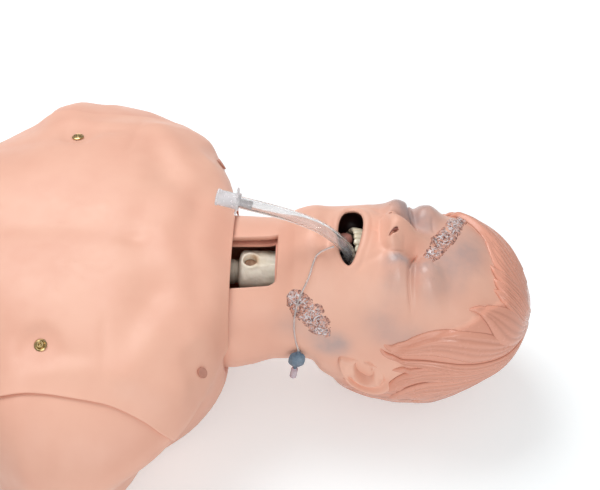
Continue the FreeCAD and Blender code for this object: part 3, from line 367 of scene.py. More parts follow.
class Tree:
    """Short calls for the shader nodes of one material."""

    def __init__(self, name: str) -> None:
        """Start a material with its own principled shader."""
        self.material = bpy.data.materials.new(name)
        self.material.use_nodes = True
        self.nodes = self.material.node_tree.nodes
        self.links = self.material.node_tree.links
        self.shader = self.nodes["Principled BSDF"]
        self.place = self.nodes.new("ShaderNodeTexCoord").outputs["Object"]

    def add(self, kind: str, **values: object) -> bpy.types.Node:
        """Add a node and set its plain properties."""
        made = self.nodes.new(kind)
        for key, value in values.items():
            setattr(made, key, value)
        return made

    def noise(self, scale: float, detail: float = 3.0, rough: float = 0.55,
              warp: float = 0.0) -> bpy.types.NodeSocket:
        """Cloudy noise over the object, scale in waves a metre."""
        made = self.add("ShaderNodeTexNoise")
        made.inputs["Scale"].default_value = scale
        made.inputs["Detail"].default_value = detail
        made.inputs["Roughness"].default_value = rough
        made.inputs["Distortion"].default_value = warp
        self.links.new(self.place, made.inputs["Vector"])
        return made.outputs["Fac"]

    def mark(self, name: str) -> bpy.types.NodeSocket:
        """A value kept on the mesh's points."""
        made = self.add("ShaderNodeAttribute", attribute_name=name)
        return made.outputs["Fac"]

    def spread(self, source: bpy.types.NodeSocket, low: float, high: float, start: float = 0.0,
               end: float = 1.0) -> bpy.types.NodeSocket:
        """Stretch a value from low..high to start..end, held at both."""
        made = self.add("ShaderNodeMapRange", clamp=True)
        for key, value in (("From Min", low), ("From Max", high), ("To Min", start), ("To Max", end)):
            made.inputs[key].default_value = value
        self.links.new(source, made.inputs["Value"])
        return made.outputs["Result"]

    def sum(self, a: bpy.types.NodeSocket, b: object, how: str = "ADD") -> bpy.types.NodeSocket:
        """One sum on two values, the second a socket or a number."""
        made = self.add("ShaderNodeMath", operation=how)
        self.links.new(a, made.inputs[0])
        if isinstance(b, (int, float)):
            made.inputs[1].default_value = b
        else:
            self.links.new(b, made.inputs[1])
        return made.outputs["Value"]

    def mix(self, share: bpy.types.NodeSocket, a: object, b: object) -> bpy.types.NodeSocket:
        """A colour between two, each a socket or a plain colour."""
        made = self.add("ShaderNodeMix", data_type="RGBA")
        self.links.new(share, made.inputs["Factor"])
        sides = [s for s in made.inputs if s.type == "RGBA"]
        for side, value in zip(sides, (a, b)):
            if isinstance(value, tuple):
                side.default_value = (*value, 1.0)
            else:
                self.links.new(value, side)
        return next(s for s in made.outputs if s.type == "RGBA")

    def seen_by(self, *kinds: str) -> bpy.types.NodeSocket:
        """One for rays of these kinds, such as the camera's, and zero for the others."""
        path = self.add("ShaderNodeLightPath")
        total = path.outputs[f"Is {kinds[0]} Ray"]
        for kind in kinds[1:]:
            total = self.sum(total, path.outputs[f"Is {kind} Ray"])
        return self.spread(total, 0.0, 1.0)

    def bump(self, height: bpy.types.NodeSocket, strength: float, distance: float) -> None:
        """Raise the shading by a height, over any bump already set."""
        made = self.add("ShaderNodeBump")
        made.inputs["Strength"].default_value = strength
        made.inputs["Distance"].default_value = distance
        self.links.new(height, made.inputs["Height"])
        socket = self.shader.inputs["Normal"]
        if socket.is_linked:
            self.links.new(socket.links[0].from_socket, made.inputs["Normal"])
        self.links.new(made.outputs["Normal"], socket)

    def set(self, **values: object) -> None:
        """Set the shader's own sockets, named with underscores for spaces."""
        for key, value in values.items():
            socket = self.shader.inputs[key.replace("_", " ")]
            if isinstance(value, bpy.types.NodeSocket):
                self.links.new(value, socket)
            elif isinstance(value, tuple):
                socket.default_value = (*value, 1.0)
            else:
                socket.default_value = value


@dataclass(frozen=True)
class Plain:
    """A moulded, turned or cast finish with some unevenness in it."""

    name: str
    colour: Colour
    second: Colour
    patch: float = 60.0
    roughness: float = 0.45
    metallic: float = 0.0
    grain: float = 900.0
    relief: float = 0.15
    depth: float = 0.0002
    coat: float = 0.0
    clear: float = 0.0
    ior: float = 1.45

    def material(self) -> bpy.types.Material:
        """Build the finish: two colours mixed by clouds, uneven gloss and a fine bump."""
        tree = Tree(self.name)
        cloud = tree.noise(self.patch, 4.0)
        tree.set(Base_Color=tree.mix(tree.spread(cloud, 0.35, 0.65), self.colour, self.second),
                 Roughness=tree.spread(tree.noise(self.patch * 4, 2.0), 0.3, 0.7,
                                       max(self.roughness - 0.06, 0.03), self.roughness + 0.06),
                 Metallic=self.metallic, Coat_Weight=self.coat, IOR=self.ior)
        if self.clear:
            tree.set(Transmission_Weight=self.clear)
        tree.bump(tree.noise(self.grain, 3.0), self.relief, self.depth)
        return tree.material


@dataclass(frozen=True)
class VinylSkin:
    """Soft satin vinyl in a skin colour, with blue-grey bruises and redder moulded hair."""

    name: str
    colour: Colour = (0.90, 0.515, 0.385)
    second: Colour = (0.85, 0.455, 0.335)
    bruise: Colour = (0.33, 0.30, 0.32)
    hair: Colour = (0.78, 0.365, 0.26)
    # Colour of the painted shade laid in the locks' grooves and edges and in the ears' hollows.
    groove: Colour = (0.44, 0.18, 0.125)
    roughness: float = 0.46

    def material(self) -> bpy.types.Material:
        """Build the finish from clouds, the mesh's bruise and hair marks, and its mark of painted shade in
        grooves and hollows.
        """
        tree = Tree(self.name)
        base = tree.mix(tree.spread(tree.noise(14.0, 3.0), 0.35, 0.65), self.colour, self.second)
        mottle = tree.spread(tree.noise(90.0, 4.0, 0.6), 0.25, 0.75, 0.72, 1.15)
        bruised = tree.mix(tree.sum(tree.mark("bruise"), mottle, "MULTIPLY"), base, self.bruise)
        haired = tree.mix(tree.mark("hair"), bruised, self.hair)
        # Painted shade: the groove-shade mark darkens the colour towards the dark groove colour.
        shade = tree.mix(tree.mark("groove"), haired, self.groove)
        wet = tree.sum(tree.sum(tree.mark("hair"), 0.8, "MULTIPLY"), tree.mark("gloss"))
        gloss = tree.spread(wet, 0.0, 1.0, self.roughness, self.roughness - 0.27)
        uneven = tree.spread(tree.noise(120.0, 2.0), 0.3, 0.7, -0.05, 0.05)
        tree.set(Base_Color=shade, Roughness=tree.sum(gloss, uneven), IOR=1.45)
        tree.bump(tree.noise(1500.0, 3.0), 0.10, 0.0002)
        tree.bump(tree.noise(160.0, 3.0), 0.10, 0.0008)
        return tree.material


@dataclass(frozen=True)
class TornFlesh:
    """The wet, torn look of a moulded wound: pale strands over dark red-brown."""

    name: str
    pale: Colour = (0.82, 0.76, 0.78)
    flesh: Colour = (0.76, 0.36, 0.26)
    dark: Colour = (0.12, 0.035, 0.03)

    def material(self) -> bpy.types.Material:
        """Build the finish from clouds and the mesh's height mark."""
        tree = Tree(self.name)
        speck = tree.spread(tree.noise(260.0, 5.0, 0.7, 1.8), 0.43, 0.53)
        torn = tree.mix(speck, self.dark, self.flesh)
        strand = tree.spread(tree.noise(190.0, 5.0, 0.62, 2.6), 0.50, 0.545)
        cloud = tree.spread(tree.noise(60.0, 2.0), 0.36, 0.50, 0.35, 1.0)
        pale_share = tree.sum(strand, cloud, "MULTIPLY")
        high = tree.sum(pale_share, tree.spread(tree.mark("raised"), 0.66, 0.90), "MULTIPLY")
        tree.set(Base_Color=tree.mix(high, torn, self.pale), Roughness=0.16, Coat_Weight=0.6,
                 Coat_Roughness=0.08, IOR=1.5)
        tree.bump(tree.noise(520.0, 5.0, 0.7, 1.0), 0.5, 0.0010)
        tree.bump(tree.noise(190.0, 5.0, 0.62, 2.6), 0.8, 0.0016)
        return tree.material


@dataclass(frozen=True)
class CastCream:
    """Cast cream plastic, browner round the opening that the practice tube or needle uses."""

    name: str
    centre: tuple[float, float, float]
    colour: Colour = (0.93, 0.87, 0.74)
    second: Colour = (0.84, 0.75, 0.59)
    stain: Colour = (0.62, 0.42, 0.26)

    def material(self) -> bpy.types.Material:
        """Build the finish: clouds, small pits and a stain that fades from the opening."""
        tree = Tree(self.name)
        gap = tree.add("ShaderNodeVectorMath", operation="DISTANCE")
        gap.inputs[1].default_value = self.centre
        tree.links.new(tree.place, gap.inputs[0])
        near = tree.spread(gap.outputs["Value"], 0.0058, 0.0085, 1.0, 0.0)
        ragged = tree.sum(near, tree.spread(tree.noise(220.0, 3.0), 0.3, 0.7, 0.4, 1.2), "MULTIPLY")
        cloud = tree.mix(tree.spread(tree.noise(70.0, 4.0), 0.38, 0.66), self.colour, self.second)
        tree.set(Base_Color=tree.mix(ragged, cloud, self.stain), Roughness=0.5, IOR=1.45)
        tree.bump(tree.noise(260.0, 4.0), 0.35, 0.0008)
        return tree.material


class Part(Enum):
    """Plain finishes, of the frame's pieces and of the new ones that take their place."""

    TORSO = Plain("torso vinyl", (0.88, 0.49, 0.365), (0.83, 0.435, 0.32), 12.0, 0.48)
    BRASS = Plain("brass", (0.60, 0.46, 0.24), (0.46, 0.33, 0.15), 300.0, 0.26, 1.0, 1200.0, 0.1)
    PLUG = Plain("skin plug", (0.58, 0.27, 0.20), (0.52, 0.23, 0.165), 200.0, 0.42)
    BONE = Plain("skull plastic", (0.76, 0.70, 0.56), (0.68, 0.60, 0.45), 40.0, 0.4)
    TEETH = Plain("teeth", (0.95, 0.88, 0.70), (0.86, 0.76, 0.55), 150.0, 0.22, coat=0.4)
    # Lower teeth in a warm brownish pink: partly a stain, partly painted shade of the mouth.
    GUM = Plain("lower teeth", (0.70, 0.42, 0.30), (0.56, 0.29, 0.20), 150.0, 0.28, coat=0.3)
    THROAT = Plain("throat rubber", (0.40, 0.15, 0.11), (0.28, 0.09, 0.07), 90.0, 0.35, coat=0.2)
    MEMBRANE = Plain("membrane", (0.36, 0.20, 0.11), (0.24, 0.12, 0.06), 300.0, 0.4)
    LINER = Plain("neck sleeve", (0.84, 0.42, 0.31), (0.76, 0.35, 0.26), 60.0, 0.40)
    BOARD = Plain("grey plastic", (0.50, 0.50, 0.49), (0.42, 0.42, 0.41), 50.0, 0.5)
    STEEL = Plain("plated steel", (0.56, 0.57, 0.58), (0.46, 0.46, 0.47), 260.0, 0.3, 1.0)
    HOSE = Plain("ringed hose", (0.66, 0.61, 0.51), (0.52, 0.47, 0.38), 80.0, 0.5)
    BAG = Plain("bag rubber", (0.55, 0.52, 0.42), (0.46, 0.42, 0.33), 40.0, 0.45)
    TUBE = Plain("clear tube", (0.93, 0.92, 0.92), (0.88, 0.87, 0.87), 60.0, 0.09, relief=0.02,
                 clear=0.93, ior=1.36)
    CONNECTOR = Plain("frosted connector", (0.94, 0.92, 0.93), (0.90, 0.87, 0.89), 80.0, 0.24,
                      relief=0.03, clear=0.38, ior=1.3)
    LINE = Plain("thin clear line", (0.86, 0.80, 0.78), (0.80, 0.72, 0.70), 200.0, 0.2, clear=0.5)
    BALLOON = Plain("blue film", (0.13, 0.21, 0.30), (0.27, 0.36, 0.45), 160.0, 0.12, clear=0.4)
    VALVE = Plain("pale valve", (0.80, 0.66, 0.72), (0.70, 0.56, 0.64), 150.0, 0.22, clear=0.35)


SHOWN_BY_NEW_PIECES = ("chest_skin", "head_skin", "tongue", "inflation_line", "pilot_balloon",
                       "torso_shell", "upper_teeth", "tube_connector", "larynx", "windpipe")
FRAME_PIECES = {
    Part.BRASS: ["press_studs"], Part.PLUG: ["shoulder_plugs"],
    Part.BONE: ["skull", "skull_base", "upper_jaw", "lower_jaw"],
    Part.GUM: ["lower_teeth"], Part.THROAT: ["throat"],
    Part.MEMBRANE: ["throat_membrane"], Part.LINER: ["neck_liner"],
    Part.BOARD: ["neck_post", "larynx_cradle", "neck_plate", "lung_tray"],
    Part.STEEL: ["jaw_pins", "neck_bracket", "neck_hinge_pin", "bracket_screws", "hose_clip"],
    Part.HOSE: ["bronchial_fork", "gullet"],
    Part.BAG: ["left_lung", "right_lung", "stomach_bag"],
    Part.TUBE: ["breathing_tube", "tube_cuff"],
    Part.VALVE: ["balloon_valve", "valve_stem"],
}


# The head's form: tables in millimetres, the first number of each row the place along X

NECK_X = 60.0
CROWN_X = 388.0
FAR = 100.0
HEAD_ROWS = [
    (60, 179, 52, 77), (96, 180, 51, 78), (118, 182, 55, 75), (136, 185, 56, 72.5),
    (148, 193, 50, 73), (158, 202, 46, 74), (172, 207, 38, 75.5), (186, 208, 26, 76.5),
    (205, 212, 14, 77.5), (222, 213, 9, 78.5), (240, 210, 7, 79), (258, 204, 7, 79.5),
    (278, 195, 7, 79.5), (292, 194, 8, 79.5), (308, 191, 11, 79), (325, 184, 20, 76),
    (343.5, 172, 36, 69), (360, 159, 52, 59), (374, 144, 72, 44), (383.5, 127, 93, 24),
    (388, 113, 106, 5)]
HEAD_MIDDLE = [(60, 116), (96, 116), (118, 118), (136, 119), (160, 118), (200, 111), (300, 106),
               (388, 109)]
NAPE_ROWS = [(118, 0), (136, 0.05), (150, 0.10), (162, 0.15), (174, 0.17), (184, 0.09), (200, 0.05),
             (216, 0.03), (236, 0), (388, 0)]
BULGE_ROWS = [(200, 0), (236, 0.02), (262, 0.055), (290, 0.05), (312, 0.0), (335, -0.03),
              (388, -0.03)]
HAIR_LEFT = [(0, 345), (28, 347), (37, 350), (44, 330), (52, 318), (57, 300), (62, 284), (68, 262),
             (78, 250), (95, 262), (110, 245), (122, 205), (150, 190), (180, 185)]
HAIR_RIGHT = [(0, 345), (24, 338), (35, 322), (45, 306), (55, 298), (62, 284), (68, 262), (78, 250),
              (95, 262), (110, 245), (122, 205), (150, 190), (180, 185)]
NOSE_ROWS = [(236, 0, 14), (241, 8, 15), (247, 20, 14.5), (254, 24, 12.5), (262, 21, 10.5),
             (272, 13, 9), (282, 6, 9), (292, 0, 10)]
EYE_SLIT = [(13, 272), (16.5, 270.2), (24.8, 266.6), (37.7, 264), (47.3, 263.7), (57.4, 265.1),
            (62, 267)]
MOUTH = [(208, 29), (203.5, 26), (199.5, 18), (197.5, 8), (197, -4), (197, -14), (198.8, -24),
         (202.5, -32), (207.5, -36), (211.5, -32.5), (215, -23), (218, -12), (220, 0), (220.5, 10),
         (218.5, 20), (214, 27.5)]
WINDOW = [(90, 16), (138, 14.6), (139, 14), (139.4, 13), (139.5, -35), (139, -37), (137, -39.5),
          (133, -41), (90, -43)]
FACE_PAIRS = [
    (248, 15, 8, 6.5, 7), (256, 42, 15, 20, 11), (283, 44, 14, 20, 12.5), (269, 38, 4.5, 22, -6),
    (268, 19, 8, 6, -3), (205, 54, 26, 14, -2.5), (176, 36, 14, 16, 4)]
FACE_MIDDLE = [(172, 0, 12, 20, 4), (188, 0, 6, 22, -2), (225, 0, 8, 30, 2), (193, 0, 7, 26, 1.6)]
LID_LOBES = [(251, 36, 11, 18, 4.4), (281.5, 41, 13.5, 19, 3.8), (273, 54, 6, 8, 1.0),
             (238, 50, 6, 9, 0.9)]
NOSTRIL = (248.6, 11.2)
NOSTRIL_TURN = 32.0
BRUISES = [
    (320, -2, 16, 15, 0.55), (306, -20, 16, 14, 0.34), (284, -33, 15, 11, 0.30), (262, -64, 22, 9, 0.34),
    (240, -54, 18, 11, 0.30), (250, -30, 13, 11, 0.26), (276, -21, 12, 7, 0.5), (254, -19, 11, 4, 0.75),
    (250, 33, 22, 12, 0.65), (279, 30, 18, 12, 0.55), (264, 19, 14, 7, 0.7), (281, 13, 12, 7, 0.5),
    (199, -73, 12, 9, 0.62), (190, -80, 13, 8, 0.5), (154, -64, 16, 11, 0.26), (296, -10, 14, 10, 0.35),
    (180, -70, 14, 8, 0.3), (330, 14, 12, 14, 0.3)]
GLOSSY = [(251, -38, 11, 18, 0.9), (281, -42, 14, 18, 0.8), (251, 37, 11, 16, 0.8),
          (281, 42, 14, 16, 0.7), (266, -48, 10, 10, 0.5)]


@dataclass(frozen=True)
class HeadForm:
    """The head's and neck's surface: oval sections along X, with the face's height added."""

    hair_rise: float = 4.4
    core_span: tuple[float, float] = (150.0, 300.0)
    reach: float = 170.0

    def middle(self, x: Array) -> Array:
        """Height of the sections' middle."""
        return through(HEAD_MIDDLE, x)

    def hair_share(self, x: Array, angle: Array) -> Array:
        """Zero on bare skin, one well inside the hair."""
        turn = degrees_round(angle)
        edge = np.where(turn < 0, through(HAIR_LEFT, np.abs(turn)), through(HAIR_RIGHT, np.abs(turn)))
        return ease((x - edge - 1.0) / 11.0)

    def radius(self, x: Array, angle: Array, haired: float = 1.0) -> Array:
        """Radius of the section at x, before the face is added.

        Formula: an oval of the tables' height, depth and width, drawn in at the nape and out
        behind the ears, and thicker where there is hair.
        """
        top, bottom, half = (through(HEAD_ROWS, x, c) for c in (1, 2, 3))
        middle = self.middle(x)
        near = np.abs(degrees_round(angle))
        plain = oval_radius(angle, half, top - middle, middle - bottom, 2.25, 2.15)
        plain = plain * (1.0 - through(NAPE_ROWS, x) * ease((0.25 - np.cos(angle)) / 0.9)
                         + through(BULGE_ROWS, x) * bell((near - 132.0) / 30.0))
        return plain + haired * self.hair_rise * self.hair_share(x, angle)

    def face(self, x: Array, y: Array) -> Array:
        """Height of nose, lids, brows, cheeks, lips and chin over the plain oval."""
        out = through(NOSE_ROWS, x, 1) * np.exp(-(np.abs(y) / through(NOSE_ROWS, x, 2)) ** 2.6)
        return out + humps(x, y, FACE_PAIRS, True) + humps(x, y, FACE_MIDDLE)

    def lids(self, x: Array, y: Array) -> Array:
        """The shut swollen lids: a slit between two rolls, four lobes, a fold and soft lumps."""
        side = np.abs(y)
        along = x - through(EYE_SLIT, side)
        span = ease((side - 13.0) / 6.0) * ease((66.0 - side) / 12.0)
        rolls = 1.2 * bell((along - 2.8) / 2.0) + 0.9 * bell((along + 2.8) / 2.0)
        out = span * (rolls - 3.2 * bell(along))
        for x0, y0, size_x, size_y, rise in LID_LOBES:
            reach = ((x - x0 - 0.12 * (side - y0)) / size_x) ** 2 + ((side - y0) / size_y) ** 2
            out = out + rise * np.exp(-reach ** 1.7)
        fold = bell((x - (287.0 + 0.014 * (side - 26.0) ** 2)) / 1.6)
        out = out - 1.1 * fold * ease((side - 12.0) / 5.0) * ease((34.0 - side) / 12.0)
        return out + 0.5 * lumps(np.stack([x, y, 0 * x], -1), 9.0, 21) * span

    def nose(self, x: Array, y: Array) -> Array:
        """The nose's wings, the creases from them to the lips and the groove between."""
        side = np.abs(y)
        wing = np.hypot((x - 248.5) * 0.95, side - 12.5)
        around = ease((side - 12.0) / 5.0 + (x - 250.0) / 16.0 + 0.5)
        out = 1.2 * bell((wing - 7.0) / 2.6) * around
        out = out - 2.0 * bell((wing - 10.6) / 1.5) * around * ease((264.0 - x) / 8.0)
        crease = bell((side - (22.0 + (243.0 - x) * 0.62)) / 3.6)
        out = out - 0.8 * crease * ease((246.0 - x) / 8.0) * ease((x - 206.0) / 18.0)
        return out - bell(side / 2.6) * ease((x - 221.0) / 5.0) * ease((237.0 - x) / 5.0)

    def lips(self, x: Array, y: Array) -> Array:
        """The lips' rolls, which follow the mouth's outline."""
        gap, _ = edge_distance(x, y, smooth_loop(MOUTH, 64))
        outside = np.maximum(gap, 0.0)
        roll = (0.9 * bell((outside - 4.0) / 3.0) - 1.6 * bell(outside / 1.4)) * (gap < 40)
        return roll - 0.5 * bell((outside - 8.5) / 1.6) * ease((x - 214.0) / 6.0)

    def detail(self, x: Array, y: Array) -> Array:
        """Fine relief of the face, in which grooves are bells along a line and lobes are humps."""
        return self.lids(x, y) + self.nose(x, y) + self.lips(x, y)

    def front(self, angle: Array) -> Array:
        """How much of the face's height a place round the head takes: none at the sides."""
        return ease((np.cos(angle) - 0.15) / 0.35)

    def place(self, x: Array, angle: Array, haired: float = 1.0, fine: bool = True) -> Array:
        """Points of the skin, (..., 3), at x and an angle from the top, +Y being positive."""
        x, angle = np.broadcast_arrays(np.asarray(x, float), np.asarray(angle, float))
        radius = self.radius(x, angle, haired)
        side = radius * np.sin(angle)
        high = self.middle(x) + radius * np.cos(angle)
        relief = self.face(x, side)
        if fine:
            relief = relief + self.detail(x, side) * (x > 180)
        high = high + self.front(angle) * relief
        return np.stack([x, side, high], -1)

    def onto(self, points: Array, lift: Array) -> Array:
        """Move points onto the surface along rays from the head's core, then out by lift.

        Formula: each ray starts on the middle line at the point's own x, held between 150 and
        300, and is halved 28 times between inside and outside.

        Args:
            points: Places near the surface, (..., 3).
            lift: How far over the surface each ends.

        Returns:
            The moved points.
        """
        x = np.clip(points[..., 0], *self.core_span)
        core = np.stack([x, 0 * x, self.middle(x)], -1)
        ray = unit(points - core)

        def inside(far: Array) -> Array:
            """Whether places so far along the rays lie within the skin."""
            spot = core + ray * far[..., None]
            xs = np.clip(spot[..., 0], NECK_X, CROWN_X - 0.1)
            middle = self.middle(xs)
            relief = self.face(xs, spot[..., 1])
            share = np.ones_like(far)
            for _ in range(2):
                angle = np.arctan2(spot[..., 1], spot[..., 2] - relief * share - middle)
                share = self.front(angle)
            flat = np.hypot(spot[..., 1], spot[..., 2] - relief * share - middle)
            return (flat < self.radius(xs, angle)) & (spot[..., 0] < CROWN_X + 0.5)

        low = halved(inside, np.full(x.shape, 1.0), np.full(x.shape, self.reach), 28)
        return core + ray * (low + lift)[..., None]


@dataclass(frozen=True)
class Ribbon:
    """A closed strip that lies on the head: a path of (x, angle, half width) with a crown."""

    path: tuple[tuple[float, float, float], ...]
    rise: float = 2.6
    seat: float = 0.0
    sink: float = 0.45
    grooves: tuple[float, ...] = (-0.45, 0.0, 0.42)
    depth: float = 1.0
    ragged: float = 0.0
    rows: int = 46
    columns: int = 33
    seed: int = 1

    def line(self, form: HeadForm) -> tuple[Array, Array, Array, Array]:
        """The strip's middle line on the head: x, half widths, places and the way across."""
        rows = np.asarray(self.path, float)
        t = np.linspace(0, len(rows) - 1, self.rows)
        k = np.minimum(t.astype(int), len(rows) - 2)
        pad = np.concatenate([[2 * rows[0] - rows[1]], rows, [2 * rows[-1] - rows[-2]]])
        a, b, c, d = (pad[k + i] for i in range(4))
        x, turn, half = between(a, b, c, d, (t - k)[:, None]).T
        angle = np.radians(turn)
        middle = form.place(x, angle, fine=False)
        right, left = (form.place(x, angle + step, fine=False) for step in (0.02, -0.02))
        ahead, behind = (form.place(np.clip(x + step, NECK_X, CROWN_X), angle, fine=False)
                         for step in (0.6, -0.6))
        away = unit(np.cross(ahead - behind, right - left))
        return x, np.maximum(half, 0.15), middle, unit(np.cross(away, np.gradient(middle, axis=0)))

    def tear(self, x: Array, ring: Array) -> Array:
        """How much wider or narrower a ragged strip is at each point of its two edges."""
        edge, other = (lumps(np.stack([x, 0 * x + shift, 0 * x + self.seed], -1), 6.0, self.seed + n)
                       for n, shift in enumerate((0, 50)))
        return 1 + self.ragged * np.where(ring[None] > 0, edge[:, None], other[:, None])

    def furrows(self, ring: Array, u: Array) -> Array:
        """Depth of the narrow grooves, each a bell about a line that bends along the strip."""
        cut = np.zeros((len(u), len(ring)))
        for n, at in enumerate(self.grooves):
            bend = at * (1.0 - 0.25 * np.sin(2.2 * u + n)) + 0.05 * np.sin(7 * u + 2 * n)
            cut = cut + bell((ring[None] - bend) / 0.10) * ease((u - 0.10) / 0.3)
        return cut

    def build(self, name: str, form: HeadForm) -> bpy.types.Object:
        """Make the strip.

        Formula: the middle line is a smooth curve through the path; each point stands s half
        widths to its side, and rises by the crown (1 - |s|^2.6)^0.55, less narrow grooves.
        """
        x, half, middle, side = self.line(form)
        top = np.sin(np.linspace(-np.pi / 2, np.pi / 2, self.columns))
        ring = np.concatenate([top, [0.98, 0.5, 0.0, -0.5, -0.98]])
        wide = np.repeat(half[:, None], len(ring), 1)
        if self.ragged:
            wide = wide * self.tear(x, ring)
        points = middle[:, None] + side[:, None] * (ring[None, :, None] * wide[..., None])
        u = np.linspace(0, 1, self.rows)[:, None]
        swell = ease(u / 0.16) * (1 - 0.45 * ease((u - 0.7) / 0.3))
        crown = np.maximum(1 - np.abs(ring) ** 2.6, 0)[None] ** 0.55
        cut = self.furrows(ring, u)
        height = self.seat * ease(u / 0.2) + self.rise * swell * crown - self.sink
        height = height - self.depth * cut * ease((1.02 - u) / 0.1)
        if self.ragged:
            height = height + swell * crown * (2.6 * lumps(points, 5.2, self.seed + 3, 4) + 0.5)
        height[:, self.columns:] = -self.sink - 1.2
        # For locks, painted shade along the grooves and at the edges between locks; wounds get none.
        shade = np.clip(0.28 * cut + 0.75 * bell((1 - np.abs(ring[None])) / 0.045), 0, 1)
        ones = np.ones_like(shade)
        return closed_loft(name, form.onto(points, height), hair=ones, bruise=0 * ones,
                           groove=0 * ones if self.ragged else shade, raised=crown * ones)


# Assemblies

@dataclass
class InflationLine:
    """The cuff's thin line over the cheek and neck, its welded balloon and its valve."""

    route: tuple[tuple[float, float, float], ...] = (
        (193.5, -23, 213.5), (179.5, -25, 209), (174.4, -36.6, 205.31), (171.0, -47.5, 195.77),
        (162.6, -57.65, 181.07), (157.5, -67.59, 162.54), (158.3, -75.2, 138.96),
        (162.5, -76.17, 121.12))
    diameter: float = 1.8
    length: float = 125.8
    hang: tuple[float, float, float] = (-5.0, -3.0, -32.0)
    balloon_length: float = 24.0
    balloon_width: float = 15.0
    balloon_thick: float = 7.0

    def build(self) -> None:
        curve = bpy.data.curves.new("cuff_line", "CURVE")
        curve.dimensions = "3D"
        spline = curve.splines.new("NURBS")
        spline.points.add(len(self.route) - 1)
        for point, place in zip(spline.points, self.route):
            point.co = (place[0] * MM, place[1] * MM, place[2] * MM, 1.0)
        spline.order_u = 3
        spline.use_endpoint_u = True
        curve.resolution_u = 16
        curve.bevel_depth = self.diameter / 2 * MM
        curve.bevel_resolution = 4
        curve.use_fill_caps = True
        line = bpy.data.objects.new("cuff_line", curve)
        bpy.context.scene.collection.objects.link(line)
        dress(line, Part.LINE.value.material())
        bag = self.balloon()
        for piece, node in ((line, "inflation_line"), (bag, "pilot_balloon")):
            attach(piece, "head")
            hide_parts(node)
        log.info("inflation line and balloon")

    def balloon(self) -> bpy.types.Object:
        """The balloon: two films welded along their edges and round both sleeves.

        Formula: at each share of the length an oval of the profile's width and thickness, its
        faces drawn in to a narrow weld at both edges, with soft creases near the valve.
        """
        down = unit(np.array(self.hang))
        wide = unit(np.array([1.0, 0, 0]) - down * down[0])
        thick = np.cross(down, wide)
        share = np.linspace(0, 1, 40)
        size = through([(0, 0.28), (0.08, 0.34), (0.16, 0.66), (0.3, 0.92), (0.5, 1.0), (0.72, 0.95),
                        (0.86, 0.66), (0.94, 0.34), (1, 0.3)], share)
        angle = full_circle(48)
        half_w = np.maximum(self.balloon_width / 2 * size, 2.0)[:, None]
        half_t = np.maximum(self.balloon_thick / 2 * size ** 0.8, 1.9)[:, None]
        flat = ease((half_w - 2.2) / 2.0)
        weld = bell((np.abs(np.sin(angle)) - 1) / 0.05) * flat * 0.9
        side = np.sin(angle)[None] * (half_w - 0.4) + np.sign(np.sin(angle))[None] * weld
        front = squared(np.cos(angle), 1 + 0.25 * flat) * half_t
        crease = 0.25 * np.sin(angle * 9)[None] * flat * bell((share[:, None] - 0.72) / 0.14)
        rings = (np.array(self.route[-1]) + down * (share * self.balloon_length)[:, None, None]
                 + wide * side[..., None] + thick * (front * (1 + crease * 0.3))[..., None])
        bag = closed_loft("cuff_balloon", rings)
        return dress(bag, Part.BALLOON.value.material())


